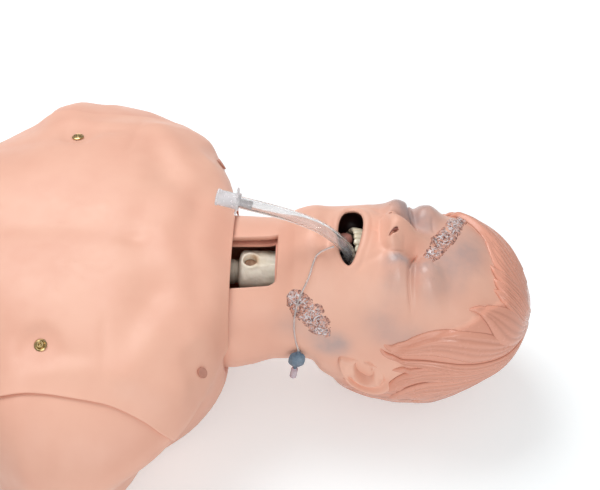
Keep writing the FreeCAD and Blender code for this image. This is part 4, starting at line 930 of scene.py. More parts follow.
@dataclass
class HeadSkin:
    """The soft moulding of face, neck and scalp, with its mouth, window and nostril holes."""

    form: HeadForm
    wall: float = 5.0
    finish: VinylSkin = field(default_factory=lambda: VinylSkin("head vinyl"))

    def rows(self) -> Array:
        """Places of the rows along X, closest over the eyes and nose."""
        runs = ((60, 130, 2.9), (130, 195, 1.8), (195, 240, 1.05), (240, 288, 0.78),
                (288, 330, 1.8), (330, 384, 3.0))
        return np.append(graded(runs), [384.0, 386.4, 387.6, CROWN_X])

    def columns(self) -> Array:
        """Angles of the columns in radians, closest over the face's middle."""
        runs = ((-180, -62, 3.0), (-62, -26, 1.35), (-26, 26, 0.72), (26, 62, 1.35), (62, 180, 3.0))
        return np.radians(graded(runs))

    def snap(self, points: Array, outline: Array, box: tuple[float, float, float, float],
             front: Array) -> Array:
        """Move the points next to an outline onto it, and say how far each point is from it.

        Formula: along every grid edge that crosses the outline, the nearer end moves to the
        outline's nearest point in plan, and keeps to its tangent plane in height.

        Args:
            points: The grid, changed in place.
            outline: The hole's outline in plan.
            box: Lowest and highest x and y to look in.
            front: Which points may move at all.

        Returns:
            Signed distances, zero where a point was moved, large where it is out of the box.
        """
        x, y = points[..., 0], points[..., 1]
        look = front & (x > box[0]) & (x < box[1]) & (y > box[2]) & (y < box[3])
        gap = np.full(x.shape, FAR)
        near = np.zeros(x.shape + (2,))
        gap[look], near[look] = edge_distance(x[look], y[look], outline)
        move = np.zeros(x.shape, bool)
        for axis in (0, 1):
            a = [slice(None), slice(None)]
            b = [slice(None), slice(None)]
            a[axis], b[axis] = slice(0, -1), slice(1, None)
            first, second = gap[tuple(a)], gap[tuple(b)]
            cross = (first * second < 0) & (np.maximum(np.abs(first), np.abs(second)) < FAR / 2)
            move[tuple(a)] |= cross & (np.abs(first) <= np.abs(second))
            move[tuple(b)] |= cross & (np.abs(second) < np.abs(first))
        away = normals_of(points)
        shift = near - points[..., :2]
        upright = np.copysign(np.maximum(np.abs(away[..., 2]), 0.2), away[..., 2])
        slope = (away[..., :2] * shift).sum(-1) / upright
        points[..., :2] = np.where(move[..., None], near, points[..., :2])
        points[..., 2] -= np.where(move, slope, 0.0)
        gap[move] = 0.0
        return gap

    def nostril(self, side: float) -> Array:
        """A nostril's outline in plan: a slanted slot with round ends."""
        t = full_circle(28)
        turn = math.radians(NOSTRIL_TURN)
        u = 5.8 * np.cos(t)
        v = 2.1 * squared(np.sin(t), 0.8)
        x = NOSTRIL[0] + u * math.cos(turn) + v * math.sin(turn)
        y = NOSTRIL[1] - u * math.sin(turn) + v * math.cos(turn)
        return np.stack([x, y * side], -1)

    def open_faces(self, gap: Array) -> list:
        """The grid's faces without the holes.

        Formula: faces with a corner in a hole, or with all four on its outline, are left out;
        of a face with one corner inside and one outside, the outer half stays.

        Args:
            gap: Distance of each point from the holes, negative inside and zero on the outline.

        Returns:
            The corner numbers of each face.
        """
        quads = np.array(grid_faces(*gap.shape, True))
        near = gap.reshape(-1)[quads]
        inside = near < 0
        keep = ~inside.any(1) & ~(near == 0).all(1)
        half = (inside.sum(1) == 1) & ((near > 0).sum(1) == 1)
        faces = quads[keep].tolist()
        for quad, values in zip(quads[half].tolist(), near[half].tolist()):
            faces.append([c for c, v in zip(quad, values) if v >= 0])
        return faces

    def build(self) -> None:
        """Make the skin's outer face, cut its holes and give it its wall.

        Formula: the head's form on a graded grid of x and angle, closed at the crown.
        """
        x, angle = np.meshgrid(self.rows(), self.columns(), indexing="ij")
        points = self.form.place(x, angle)
        front = np.cos(angle) > 0.1
        gap = np.full(x.shape, FAR)
        loops = [(smooth_loop(MOUTH, 96), (190, 227, -42, 36)),
                 (np.array(WINDOW, float), (84, 146, -50, 24)),
                 (self.nostril(1), (240, 259, 3, 21)), (self.nostril(-1), (240, 259, -21, -3))]
        for outline, box in loops:
            gap = np.minimum(gap, self.snap(points, outline, box, front))
        faces = self.open_faces(gap)
        shine = np.max([hump(x, points[..., 1], *row) for row in GLOSSY], axis=0)
        marks = {"bruise": self.bruises(x, angle), "hair": self.form.hair_share(x, angle),
                 "groove": np.zeros_like(x), "gloss": shine}
        centre = np.array([[CROWN_X + 1.0, 0.0, 109.5]])
        flat = np.concatenate([points.reshape(-1, 3), centre])
        tip, columns = x.size, x.shape[1]
        last = tip - columns
        faces += [[last + j, last + (j + 1) % columns, tip] for j in range(columns)]
        marks = {k: np.append(v.reshape(-1), v.reshape(-1)[-1]) for k, v in marks.items()}
        skin = self.mesh(flat, faces, marks)
        add_wall(skin, self.wall)
        dress(skin, self.finish.material())
        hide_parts("head_skin")
        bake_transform(skin, "head", "jaw", start=(0.231, 0, 0.122), end=(0.185, 0, 0.19))
        self.jaw_share(skin)
        log.info("head skin, %d faces", len(skin.data.polygons))

    def mesh(self, points: Array, faces: list, marks: dict[str, Array]) -> bpy.types.Object:
        """Make the mesh with its marks, without the points that no face uses."""
        used = np.zeros(len(points), bool)
        used[np.concatenate([np.array(f) for f in faces])] = True
        number = np.cumsum(used) - 1
        faces = [[int(number[c]) for c in f] for f in faces]
        kept = {mark: values[used] for mark, values in marks.items()}
        thing = make_mesh("face_and_neck", points[used], faces, **kept)
        tidy(thing)
        return thing

    def bruises(self, x: Array, angle: Array) -> Array:
        """Strength of the blue-grey bruises: one minus the product of what each leaves."""
        turn = degrees_round(angle)
        left = np.ones_like(x)
        for spot_x, spot_turn, size_x, size_turn, strength in BRUISES:
            left = left * (1 - hump(x, turn, spot_x, spot_turn, size_x, size_turn, strength))
        places = self.form.place(x, angle, fine=False)
        return np.clip((1 - left) * (1 + 0.35 * lumps(places, 16.0, 5)), 0, 1)

    def jaw_share(self, skin: bpy.types.Object) -> None:
        """Say how far each point of the skin follows the jaw.

        Formula: one under the lips and on the chin, none over them; the change is sharp at
        the mouth, spreads out over the cheek, and fades to none at the neck and behind.
        """
        mesh = skin.data
        place = np.zeros(len(mesh.vertices) * 3)
        mesh.vertices.foreach_get("co", place)
        place = place.reshape(-1, 3) / MM
        x, y, z = place.T
        out = np.abs(y)
        line = 207.5 + 16.0 * ease((out - 36.0) / 34.0)
        spread = 3.0 + 46.0 * ease((out - 33.0) / 34.0)
        share = ease(0.5 + (line - x) / spread)
        angle = np.arctan2(y, z - self.form.middle(x))
        share = share * ease((x - 138.0) / 30.0) * ease((np.cos(angle) + 0.15) / 0.6)
        layer = mesh.attributes.get("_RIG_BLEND")
        layer.data.foreach_set("value", share.astype(np.float32))
        mesh.update()


@dataclass
class Nostrils:
    """The two short bores behind the nostril slots."""

    skin: HeadSkin
    depth: float = 13.0
    wall: float = 0.6
    # Dark red-brown, far darker than the skin: painted shade inside the bores.
    finish: Plain = Plain("nostril lining shade", (0.42, 0.16, 0.12), (0.25, 0.08, 0.06), 200.0, 0.4)

    def build(self) -> None:
        """Make both bores: the slot's outline carried inwards and closed, with a thin wall."""
        made = []
        for side in (-1.0, 1.0):
            outline = self.skin.nostril(side)
            rim = np.column_stack([outline, self.top(outline)])
            share = np.linspace(0, 1, 9)[:, None, None]
            centre = rim.mean(0)
            inward = np.array([6.0, -side * 4.0, -self.depth])
            rings = rim[None] * (1 - 0.25 * share) + centre * 0.25 * share + inward * share
            rings = centre + (rings - centre) * np.array([0.92, 0.92, 1.0]) + np.array([0, 0, -0.9])
            end = rings[-1].mean(0)[None, None].repeat(rings.shape[1], 1)
            cup = make_mesh("bore", np.concatenate([rings, end]),
                            grid_faces(10, rings.shape[1], True))
            tidy(cup)
            add_wall(cup, self.wall)
            made.append(cup)
        both = join("nostril_bores", made)
        dress(both, self.finish.material())
        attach(both, "head")
        log.info("nostrils")

    def top(self, outline: Array) -> Array:
        """Height of the skin over points in plan, by halving the angle from the top."""
        x, y = outline.T
        place = self.skin.form.place
        angle = halved(lambda mid: np.abs(place(x, mid)[:, 1]) < np.abs(y), np.zeros(len(y)),
                       np.full(len(y), 1.2))
        return place(x, angle * np.sign(y))[:, 2]


LEFT_LOCKS = [
    ((240.5, -68.5, .3), (250, -72.5, 4.5), (263, -71, 8.5), (290, -66, 14.5), (312, -67, 17),
     (333, -72, 18), (350, -77, 14.5), (367, -82, 9.5), (382, -86, 4)),
    ((239, -71.5, .3), (243, -77, 2.2), (251, -80.5, 3.4), (263, -82, 4), (282, -83, 5.5),
     (302, -86, 7), (326, -92, 9), (350, -97, 8), (370, -100, 5), (383, -100, 3)),
    ((319.4, -43, .3), (331, -43.5, 3.8), (343, -47, 9.5), (354, -54, 15), (364, -64, 18),
     (374, -74, 13), (383, -84, 6)),
    ((345, -26, .3), (353, -31, 4), (362, -38, 7), (371, -47, 8), (379, -62, 6), (385, -75, 3)),
    ((346, -15, .3), (351, -22, 3.8), (359, -28, 6), (369, -37, 7), (378, -52, 5.5), (385, -68, 3)),
    ((343, -2, .3), (348, -10, 4), (355, -15, 6.5), (363, -20, 8), (372, -28, 8), (380, -44, 6),
     (385.5, -60, 3)),
    ((338, 27, .3), (344, 18, 4.5), (350, 7, 7), (357, -3, 9), (366, -12, 9.5), (375, -24, 8.5),
     (383, -44, 5)),
    ((328, 48, .3), (336, 39, 4.5), (344, 28, 8), (353, 15, 10), (363, 3, 11), (373, -10, 9.5),
     (382, -28, 5.5)),
    ((303, 48, .3), (314, 46, 4.5), (328, 42, 9), (342, 35, 11.5), (356, 24, 12), (370, 9, 10),
     (381, -10, 6)),
    ((250, -96, .3), (260, -93.5, 3.5), (274, -91, 5), (294, -90, 6), (318, -93, 8), (343, -98, 8),
     (366, -102, 6), (383, -104, 3)),
    ((240, -128, .3), (250, -114, 4), (264, -102, 7), (284, -95, 9), (308, -95, 11), (333, -99, 11),
     (354, -103, 9.5), (371, -106, 7), (383, -108, 4)),
    ((242, -139, .5), (254, -126, 5), (268, -115, 8), (288, -108, 10.5), (312, -108, 11.5),
     (336, -111, 11.5), (356, -114, 10), (372, -117, 7), (383, -118, 4)),
]
RIGHT_LOCKS = [
    ((241, 68.5, .3), (250, 72.5, 4.5), (263, 71, 8.5), (288, 66, 14.5), (310, 65, 17),
     (331, 66, 18), (348, 68, 14.5), (365, 68, 9.5), (381, 60, 4)),
    ((239, 72, .3), (243, 77, 2.2), (251, 80.5, 3.4), (263, 82, 4), (282, 83, 6),
     (302, 84, 9), (326, 86, 11), (350, 88, 10), (370, 90, 6), (383, 90, 3)),
    ((297, 57, .3), (309, 56, 5), (325, 54, 9), (340, 49, 12), (355, 40, 12), (369, 26, 10),
     (381, 5, 6)),
    ((240, 128, .3), (250, 114, 4), (264, 102, 7), (284, 98, 9), (308, 98, 11), (333, 100, 11),
     (354, 103, 9.5), (371, 106, 7), (383, 108, 4)),
    ((242, 139, .5), (254, 126, 5), (268, 115, 8), (288, 110, 10.5), (312, 110, 11.5),
     (336, 112, 11.5), (356, 114, 10), (372, 117, 7), (383, 118, 4)),
]


@dataclass
class Hair:
    """Moulded locks that run from the crown to the hairline."""

    form: HeadForm
    finish: VinylSkin

    def fan(self, start: float, end: float, count: int, from_x: float, drift: float) -> list[tuple]:
        """Evenly spread locks for the back of the head, from the hairline to the crown.

        Args:
            start: First angle in degrees.
            end: Last angle.
            count: How many.
            from_x: Where the tips are.
            drift: How far a lock turns round the head on its way.

        Returns:
            One path for each lock.
        """
        made = []
        wide = abs(end - start) / max(count - 1, 1) * 0.78
        for n, at in enumerate(np.linspace(start, end, count)):
            tip = from_x + 7.0 * math.sin(2.7 * n)
            path = []
            for share in np.linspace(0, 1, 9):
                x = tip + (385.0 - tip) * share
                turn = at + drift * math.sin(share * math.pi) * (1 if n % 2 else 0.55)
                radius = float(self.form.radius(np.array(x), np.radians(turn)))
                half = math.radians(wide) * radius * min(1.0, share * 3.0) + 0.3
                path.append((x, turn, half))
            made.append(tuple(path))
        return made

    def build(self) -> None:
        """Make every lock, in one piece for each half of the head."""
        material = self.finish.material()
        behind = {"hair_left": (self.fan(-122, -178, 6, 196, 9), self.fan(-124, -176, 5, 256, 10)),
                  "hair_right": (self.fan(180, 122, 6, 196, -9), self.fan(178, 126, 5, 256, -10))}
        for name, front in (("hair_left", LEFT_LOCKS), ("hair_right", RIGHT_LOCKS)):
            low, high = behind[name]
            locks = [(path, 0.0, 3.2, 45, 33) for path in front]
            locks += [(path, -0.6, 2.4, 40, 21) for path in low]
            locks += [(path, 0.3, 2.4, 40, 21) for path in high]
            made = []
            for n, (path, seat, rise, rows, columns) in enumerate(locks):
                lock = Ribbon(path, rise=rise, seat=seat + 0.4 * (n % 3), rows=rows,
                              columns=columns, seed=n)
                made.append(lock.build("lock", self.form))
            hair = join(name, made)
            dress(hair, material)
            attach(hair, "head")
            log.info("%s, %d faces", name, len(hair.data.polygons))


@dataclass
class Wounds:
    """Torn wounds moulded on the forehead and under the jaw."""

    form: HeadForm
    finish: TornFlesh = TornFlesh("torn flesh")
    forehead: tuple = ((279, -15, 3), (284, -11.5, 7.5), (292, -2, 9.5), (301, 8, 9.5),
                       (309, 22, 9), (316, 38, 8), (321, 50, 5), (324, 57, 1.5))
    jaw: tuple = ((151, -40, 3), (156, -43.5, 9), (166, -50, 12.5), (177, -57, 12.5),
                  (185, -63.5, 9), (190, -68, 3))

    def build(self) -> None:
        """Make both wounds as ragged, lumpy strips."""
        made = []
        for seed, (name, path) in enumerate((("forehead_wound", self.forehead), ("jaw_wound", self.jaw))):
            strip = Ribbon(path, rise=1.0, sink=0.45, grooves=(), ragged=0.42, rows=120, columns=72,
                           seed=11 + 5 * seed)
            made.append(strip.build(name, self.form))
        material = self.finish.material()
        for piece in made:
            dress(piece, material)
            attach(piece, "head")
        log.info("wounds")


@dataclass
class Ears:
    """Both outer ears: rim, fold, hollow, flap and lobe."""

    centre: tuple[float, float, float] = (225.0, 77.0, 96.0)
    half_long: float = 31.5
    half_wide: float = 18.5
    lean: float = 40.0
    finish: VinylSkin = field(default_factory=lambda: VinylSkin("ear vinyl"))

    def ridges(self, q: Array, w: Array, u: Array, v: Array) -> Array:
        """Height of tilt, rim, inner fold, flap, root and lobe, less the drops at the edge.

        Args:
            q: Shares of the outline, (n, 1).
            w: Directions, (m,).
            u: Places along the ear.
            v: Places across it.

        Returns:
            The heights.
        """
        back, up = np.cos(w)[None], np.sin(w)[None]
        out = 2.2 + 6.5 * ease((v / self.half_wide + 0.7) / 1.6)
        rim = 3.0 * bell((q - 0.90) / 0.085) - 2.3 * bell((q - 0.73) / 0.075)
        out = out + rim * ease((back + 0.55) / 0.5 + ease(up) * 0.6) * ease((up + 0.62) / 0.4)
        out = out + 2.4 * bell((q - 0.55) / 0.11) * ease((back + 0.35) / 0.5) * ease((up + 0.75) / 0.4)
        out = out + hump(u, v, -4.0, -11.5, 5.5, 3.6, 3.4) + hump(u, v, 4.5, -4.0, 2.2, 7.0, 2.4)
        out = out + hump(u, v, -24.0, -1.0, 8.0, 9.0, 1.4)
        out = out - 2.6 * np.maximum(1 - (1 - q) / 0.06, 0) ** 2
        out = out - ease((-back + 0.1) / 0.5) * ease(1 - (1 - q) / 0.36) * 6.5
        return out - ease((-up - 0.5) / 0.4) * ease(1 - (1 - q) / 0.30) * 2.5

    def one(self, side: float) -> bpy.types.Object:
        """One ear, side -1 on the manikin's left.

        Formula: a disc of radius q and direction w whose outline is an egg; its height is a
        tilt away from the head behind, plus rim, fold and flap ridges and the hollow's dip.
        """
        w = full_circle(120)
        q = np.linspace(1.0, 0.0, 44)[:-1, None]
        egg = 1.0 + 0.10 * np.sin(w) - 0.05 * np.cos(2 * w)
        u = q * np.sin(w) * self.half_long * egg
        v = q * np.cos(w) * self.half_wide * (1 + 0.22 * np.sin(w))
        bowl = -8.0 * np.exp(-(((u + 0.5) / 12.5) ** 2 + ((v + 1.0 - 0.3 * (u + 0.5)) / 7.6) ** 2) ** 2.4)
        high = self.ridges(q, w, u, v) + bowl
        rings = [np.stack([u, v, high], -1)]
        for share, drop in ((1.0, 1.4), (0.97, 2.8), (0.86, 4.2), (0.6, 8.0)):
            ring = np.stack([u[0] * share, v[0] * share, high[0] - drop - 0 * u[0]], -1)
            rings.insert(0, ring[None])
        local = np.concatenate(rings)
        turn = math.radians(self.lean)
        out = math.radians(-8.0)
        long_way = np.array([math.cos(turn), 0, -math.sin(turn)])
        wide_way = np.array([-math.sin(turn), 0, -math.cos(turn)])
        off = np.array([math.sin(-out) * 0.6, side * math.cos(out), 0])
        place = (np.array([self.centre[0], side * self.centre[1], self.centre[2]])
                 + local[..., :1] * long_way + local[..., 1:2] * wide_way + local[..., 2:] * off)
        zero = np.zeros(place.shape[:-1])
        # Painted shade in the ear's hollow, up to half strength where it is deepest.
        dip = np.clip(-bowl / 8.0 * 0.5 + 0 * u, 0, 1)
        shade = np.concatenate([np.zeros((4, len(w))), dip])
        return closed_loft("ear", place, hair=zero, bruise=zero, groove=shade)

    def build(self) -> None:
        """Make both ears as one piece."""
        both = join("ears", [self.one(-1.0), self.one(1.0)])
        dress(both, self.finish.material())
        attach(both, "head")
        log.info("ears")


WAIST_X = -388.0
COLLAR_X = 96.0
TORSO_ROWS = [
    (-388, 146, 160, -4, 80), (-378, 150, 165, -4, 81), (-320, 153, 172, -4, 84),
    (-240, 158, 182, -4, 88), (-170, 164, 192, -4, 91), (-125, 174, 197, -4, 92),
    (-95, 202, 199, -4, 93), (-70, 228, 200, -4, 94), (-40, 238, 201, -4, 95),
    (-10, 236, 202, -4, 96), (20, 222, 200, -4, 97), (46, 200, 196, -1, 99),
    (60, 180, 194, 8, 103), (72, 154, 191, 22, 108), (84, 120, 187, 38, 113),
    (90, 98, 184.5, 45, 115), (96, 80, 182, 49, 116)]
BONE_LINE = [(0, 30), (60, 48), (120, 30), (185, -6)]
VEST_EDGE = [(-351, 95), (-346, 112), (-338, 132), (-300, 144), (-200, 152), (-110, 160),
             (-49, 172), (-2, 180), (30, 187), (42, 189.6), (49, 188.5), (56, 184), (65, 168),
             (77, 139), (88, 110), (95, 86)]
SLACK_PAIRS = [(34, 78, 20, 24, -6), (-52, 138, 30, 9, -3.4), (70, 78, 14, 22, -3.2),
               (12, 152, 18, 24, 1.6), (20, 40, 22, 18, 1.4)]
SLACK_SINGLE = [(58, 44, 15, 26, -5), (62, -52, 13, 22, -2.6), (3, -14, 15, 7, -2.6)]
BREAST_PAIRS = [(-105, 82, 70, 62, 7.5), (-188, 78, 26, 60, -3)]
FIXINGS = [(-68, 131, 20), (-300, 120, 20), (73, 131, 20)]


@dataclass(frozen=True)
class TorsoForm:
    """The torso's surface: oval sections along X with the chest's height added."""

    sharp: float = 2.35
    stump_set_back: float = 46.0
    shoulder_out: float = 7.0
    rear_share: float = 2.5

    def place(self, x: Array, angle: Array, grow: Array) -> Array:
        """Points of the torso's surface, moved out by grow.

        Formula: an oval of the table's width and heights with its muscles and bones added
        in front; moving out also leans to the neck over the shoulders' slope.
        """
        half, top, bottom, middle = (through(TORSO_ROWS, x, c) for c in (1, 2, 3, 4))
        lower = 3.2 - 0.95 * ease((x - 40.0) / 56.0)
        radius = oval_radius(angle, half, top - middle, middle - bottom, self.sharp, lower)
        side = radius * np.sin(angle)
        front = ease((np.cos(angle) - 0.1) / 0.4) * ease((86.0 - x) / 30.0)
        high = middle + radius * np.cos(angle) + front * self.chest(x, side)
        out = np.stack([0 * side, side, high - middle], -1)
        reach = np.linalg.norm(out, axis=-1)
        out[..., 0] = np.where(x > 20, reach * 1.2 * ease((x - 20.0) / 40.0) * ease((110 - x) / 30.0), 0)
        out = out / np.maximum(np.linalg.norm(out, axis=-1, keepdims=True), 1e-6)
        return self.shoulder(np.stack([x, side, high], -1) + out * np.asarray(grow)[..., None])

    def chest(self, x: Array, y: Array) -> Array:
        """The breast's middle groove, both breast muscles and the collar bones, as humps."""
        side = np.abs(y)
        out = -2.4 * bell(y / 15.0) * ease((10.0 - x) / 60.0) * ease((x + 300.0) / 120.0)
        out = out + humps(x, y, BREAST_PAIRS, True)
        over = x - through(BONE_LINE, side)
        out = out + 2.4 * bell(over / 13.0) * ease((185.0 - side) / 60.0)
        return out - 1.8 * bell((over + 26.0) / 16.0) * ease((170.0 - side) / 70.0)

    def shoulder(self, points: Array) -> Array:
        """Round the arm stumps: fuller over the upper arm, set back under the shoulder.

        Formula: points beside the chest move out and up, and points low on the shoulder's
        front move back along X, each by eased shares of x, |y| and z.
        """
        x, y, z = points[..., 0], points[..., 1], points[..., 2]
        side = np.abs(y)
        full = ease((side - 128.0) / 70.0) * ease((x + 230.0) / 90.0) * ease((10.0 - x) / 80.0)
        rear = ease((-50.0 - x) / 60.0) * ease((x + 210.0) / 90.0) * ease((side - 120.0) / 60.0)
        full = full + self.rear_share * rear
        back = ease((140.0 - z) / 80.0) * ease((side - 84.0) / 70.0) * ease((x + 50.0) / 84.0)
        return np.stack([x - self.stump_set_back * back,
                         y + np.sign(y) * self.shoulder_out * full * ease((z - 10.0) / 60.0),
                         z + 0.9 * self.shoulder_out * full * ease((z - 40.0) / 90.0)], -1)

    def angle_at(self, x: Array, y: Array) -> Array:
        """Angle from the top at which the torso's side is y, by halving."""
        half, top, bottom, middle = (through(TORSO_ROWS, x, c) for c in (1, 2, 3, 4))

        def less(angle: Array) -> Array:
            """Whether the side at an angle is still nearer the middle than y."""
            radius = oval_radius(angle, half, top - middle, middle - bottom, self.sharp, self.sharp)
            return radius * np.sin(angle) < np.abs(y)

        return halved(less, np.zeros_like(x), np.full_like(x, np.pi / 2)) * np.sign(y)


@dataclass
class TorsoBody:
    """The hollow body under the chest skin: flat back, arm stumps and the neck's socket."""

    form: TorsoForm
    head: HeadForm
    socket_gap: float = 3.4
    socket_rows: tuple = ((91.2, 0.35), (91.0, 0.8), (88.0, 1.0), (60.0, 1.0), (24.0, 0.98))

    def build(self) -> None:
        """Make the body as one closed form.

        Formula: rings of the torso's surface from the waist to the collar, held over the
        floor; the waist is closed by shrinking rings, and at the collar the rings turn in to
        the neck's section and run back to form the socket.
        """
        angle = full_circle(180)
        x = np.concatenate([[WAIST_X, -387.4, -386.0, -383.0], np.arange(-378, 86, 5.0),
                            [87.0, 89.0, 90.5]])
        inset = np.zeros(len(x))
        inset[:4] = 5.0, 2.2, 0.8, 0.1
        xx = np.repeat(x[:, None], len(angle), 1)
        rings = self.form.place(xx, np.repeat(angle[None], len(x), 0), -inset[:, None] + 0 * xx)
        rings[..., 2] = np.maximum(rings[..., 2], 0.0)
        rings[0, :, 0] = WAIST_X
        waist = [rings[0] * (1 - s) + rings[0].mean(0) * s for s in (0.98, 0.6, 0.25, 0.02)]
        neck = self.head.place(np.full_like(angle, COLLAR_X), angle, fine=False)
        middle = np.array([COLLAR_X, 0.0, float(self.head.middle(np.array(COLLAR_X)))])
        neck = neck + self.socket_gap * unit(neck - middle)
        socket = []
        for place, share in self.socket_rows:
            ring = rings[-1] * (1 - share) + neck * share
            ring[:, 0] = place
            socket.append(ring)
        for share in (0.5, 0.02):
            socket.append(socket[4] * share + socket[4].mean(0) * (1 - share))
        body = closed_loft("torso_body", np.concatenate([np.stack(waist), rings, np.stack(socket)]))
        dress(body, Part.TORSO.value.material())
        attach(body, "torso")
        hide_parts("torso_shell")
        log.info("torso body, %d faces", len(body.data.polygons))


@dataclass
class ChestSkin:
    """The loose vinyl skin over the chest and shoulders, with a soft rounded lip."""

    form: TorsoForm
    gap: float = 0.4
    wall: float = 2.6
    slack: float = 5.4
    waist_end: float = -351.0
    collar_end: float = 95.0
    finish: VinylSkin = field(default_factory=lambda: VinylSkin("chest vinyl"))

    def looseness(self, x: Array, y: Array, edge: Array) -> Array:
        """How far the skin stands off: fuller between the hollows by the collar bones.

        Formula: a level slack less humps for each hollow and furrow, faded to nothing at the
        rim and round the studs and plugs.
        """
        side = np.abs(y)
        full = self.slack + humps(x, side, SLACK_PAIRS) + humps(x, y, SLACK_SINGLE)
        full = full - 1.6 * bell((x + 10 - 0.10 * (side - 130)) / 5.0) * ease((side - 88) / 25)
        full = np.maximum(full, 0.0)
        for fix_x, fix_y, reach in FIXINGS:
            full = full * (1 - bell(((x - fix_x) ** 2 + (side - fix_y) ** 2) / reach ** 2))
        return full * ease((edge - 2.0) / 34.0)

    def build(self) -> None:
        """Make the skin as one closed sheet.

        Formula: rows along X, columns as shares of the outline's half width; the outer and
        inner faces part by half an ellipse over the last two millimetres at the rim.
        """
        near = np.array([0, 0.15, 0.45, 0.9, 1.4, 2.0, 3.2, 5.0])
        x = np.concatenate([self.waist_end + near, np.arange(-342, 88, 3.4),
                            self.collar_end - near[::-1]])
        half = np.minimum(through(VEST_EDGE, x), through(TORSO_ROWS, x) * 0.985)
        rim = near / 150
        columns = np.concatenate([rim - 1, np.linspace(-0.955, 0.955, 121), 1 - rim[::-1]])
        xx = np.repeat(x[:, None], len(columns), 1)
        yy = half[:, None] * columns[None]
        edge = np.minimum.reduce([half[:, None] - np.abs(yy), xx - x[0], x[-1] - xx])
        angle = self.form.angle_at(xx, yy)
        extra = self.looseness(xx, yy, edge)
        swell = np.sqrt(1 - (1 - np.clip(edge / 1.5, 0, 1)) ** 2) * self.wall / 2
        middle = self.gap + self.wall / 2 + extra
        outer = self.form.place(xx, angle, middle + swell)
        inner = self.form.place(xx, angle, middle - swell)
        ring = np.concatenate([outer, inner[:, ::-1]], 1)
        zero = np.zeros(ring.shape[:-1])
        vest = make_mesh("chest_cover", ring, grid_faces(ring.shape[0], ring.shape[1], True),
                         hair=zero, bruise=zero, groove=zero)
        tidy(vest, 2e-6)
        dress(vest, self.finish.material())
        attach(vest, "torso")
        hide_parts("chest_skin")
        log.info("chest skin, %d faces", len(vest.data.polygons))


@dataclass
class Tongue:
    """The soft tongue between the teeth, fuller at its root, with a middle furrow."""

    path: tuple = ((146, 3, 187, 7, 8), (160, 3, 183, 11.5, 13), (176, 3, 181, 12, 13.5),
                   (190, 5, 183, 11, 10.5), (202, 7, 187, 9.5, 7), (211, 8, 190, 7.5, 5.5))
    finish: Plain = Plain("tongue rubber", (0.62, 0.29, 0.24), (0.50, 0.21, 0.17), 120.0, 0.3,
                          coat=0.3, grain=500.0, relief=0.4, depth=0.0005)

    def build(self) -> None:
        """Make the tongue in its place, with its tip raised to the lips.

        Formula: ovals square to a path of (x, y, z, half width, half thickness), closed in
        at both ends, each with a shallow furrow along its top.
        """
        path = np.array(self.path)
        share = np.linspace(0, 1, 60)
        rows = [np.column_stack([np.linspace(0, 1, len(path)), path[:, c]]) for c in range(5)]
        x, y, z, wide, thick = (through(row.tolist(), share) for row in rows)
        w = full_circle(72)[None]
        line = np.stack([x, y, z], -1)
        ahead = unit(np.gradient(line, axis=0))
        across = np.array([0.0, 1.0, 0.0]) - ahead * ahead[:, 1:2]
        above = np.cross(ahead, across)
        ends = np.sqrt(np.clip(1 - np.abs(2 * share - 1) ** 7, 0.02, 1))[:, None]
        furrow = 1.2 * bell(np.sin(w) / 0.16) * (np.cos(w) < 0)
        rings = (line[:, None] + across[:, None] * (np.sin(w) * wide[:, None] * ends)[..., None]
                 - above[:, None] * ((-np.cos(w) * thick[:, None] + furrow * 0.5) * ends)[..., None])
        rings = rings + 0.3 * lumps(rings, 5.0, 8)[..., None]
        tongue = closed_loft("tongue_body", rings)
        dress(tongue, self.finish.material())
        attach(tongue, "jaw")
        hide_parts("tongue")
        log.info("tongue")


@dataclass
class MouthLining:
    """The soft lining of the mouth's cavity, coloured near black as painted shade."""

    skin: HeadSkin
    wall: float = 0.8
    rows: tuple = ((1.10, 203.0), (1.22, 198.0), (1.45, 190.0), (1.55, 182.0), (1.4, 174.0),
                   (1.0, 169.0), (0.5, 167.0), (0.01, 166.5))
    # Near-black colour: painted shade inside the mouth.
    finish: Plain = Plain("mouth lining shade", (0.050, 0.014, 0.011), (0.028, 0.008, 0.006), 90.0, 0.45,
                          coat=0.15)

    def build(self) -> None:
        """Make the cavity as a thin cup behind the lips.

        Formula: the mouth's outline in plan, moved out from its middle by each row's share,
        at falling heights, and closed to a point at the bottom.
        """
        loop = smooth_loop(MOUTH, 72)
        middle = loop.mean(0)
        rings = []
        for grow, high in self.rows:
            ring = middle + (loop - middle) * grow
            rings.append(np.column_stack([ring, high - 0.06 * np.abs(ring[:, 1])]))
        cup = make_mesh("mouth_cavity", np.stack(rings), grid_faces(len(rings), len(loop), True))
        add_wall(cup, self.wall)
        tidy(cup)
        dress(cup, self.finish.material())
        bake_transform(cup, "head", "jaw", start=(0.231, 0, 0.122), end=(0.185, 0, 0.19))
        self.skin.jaw_share(cup)
        log.info("mouth lining shade")


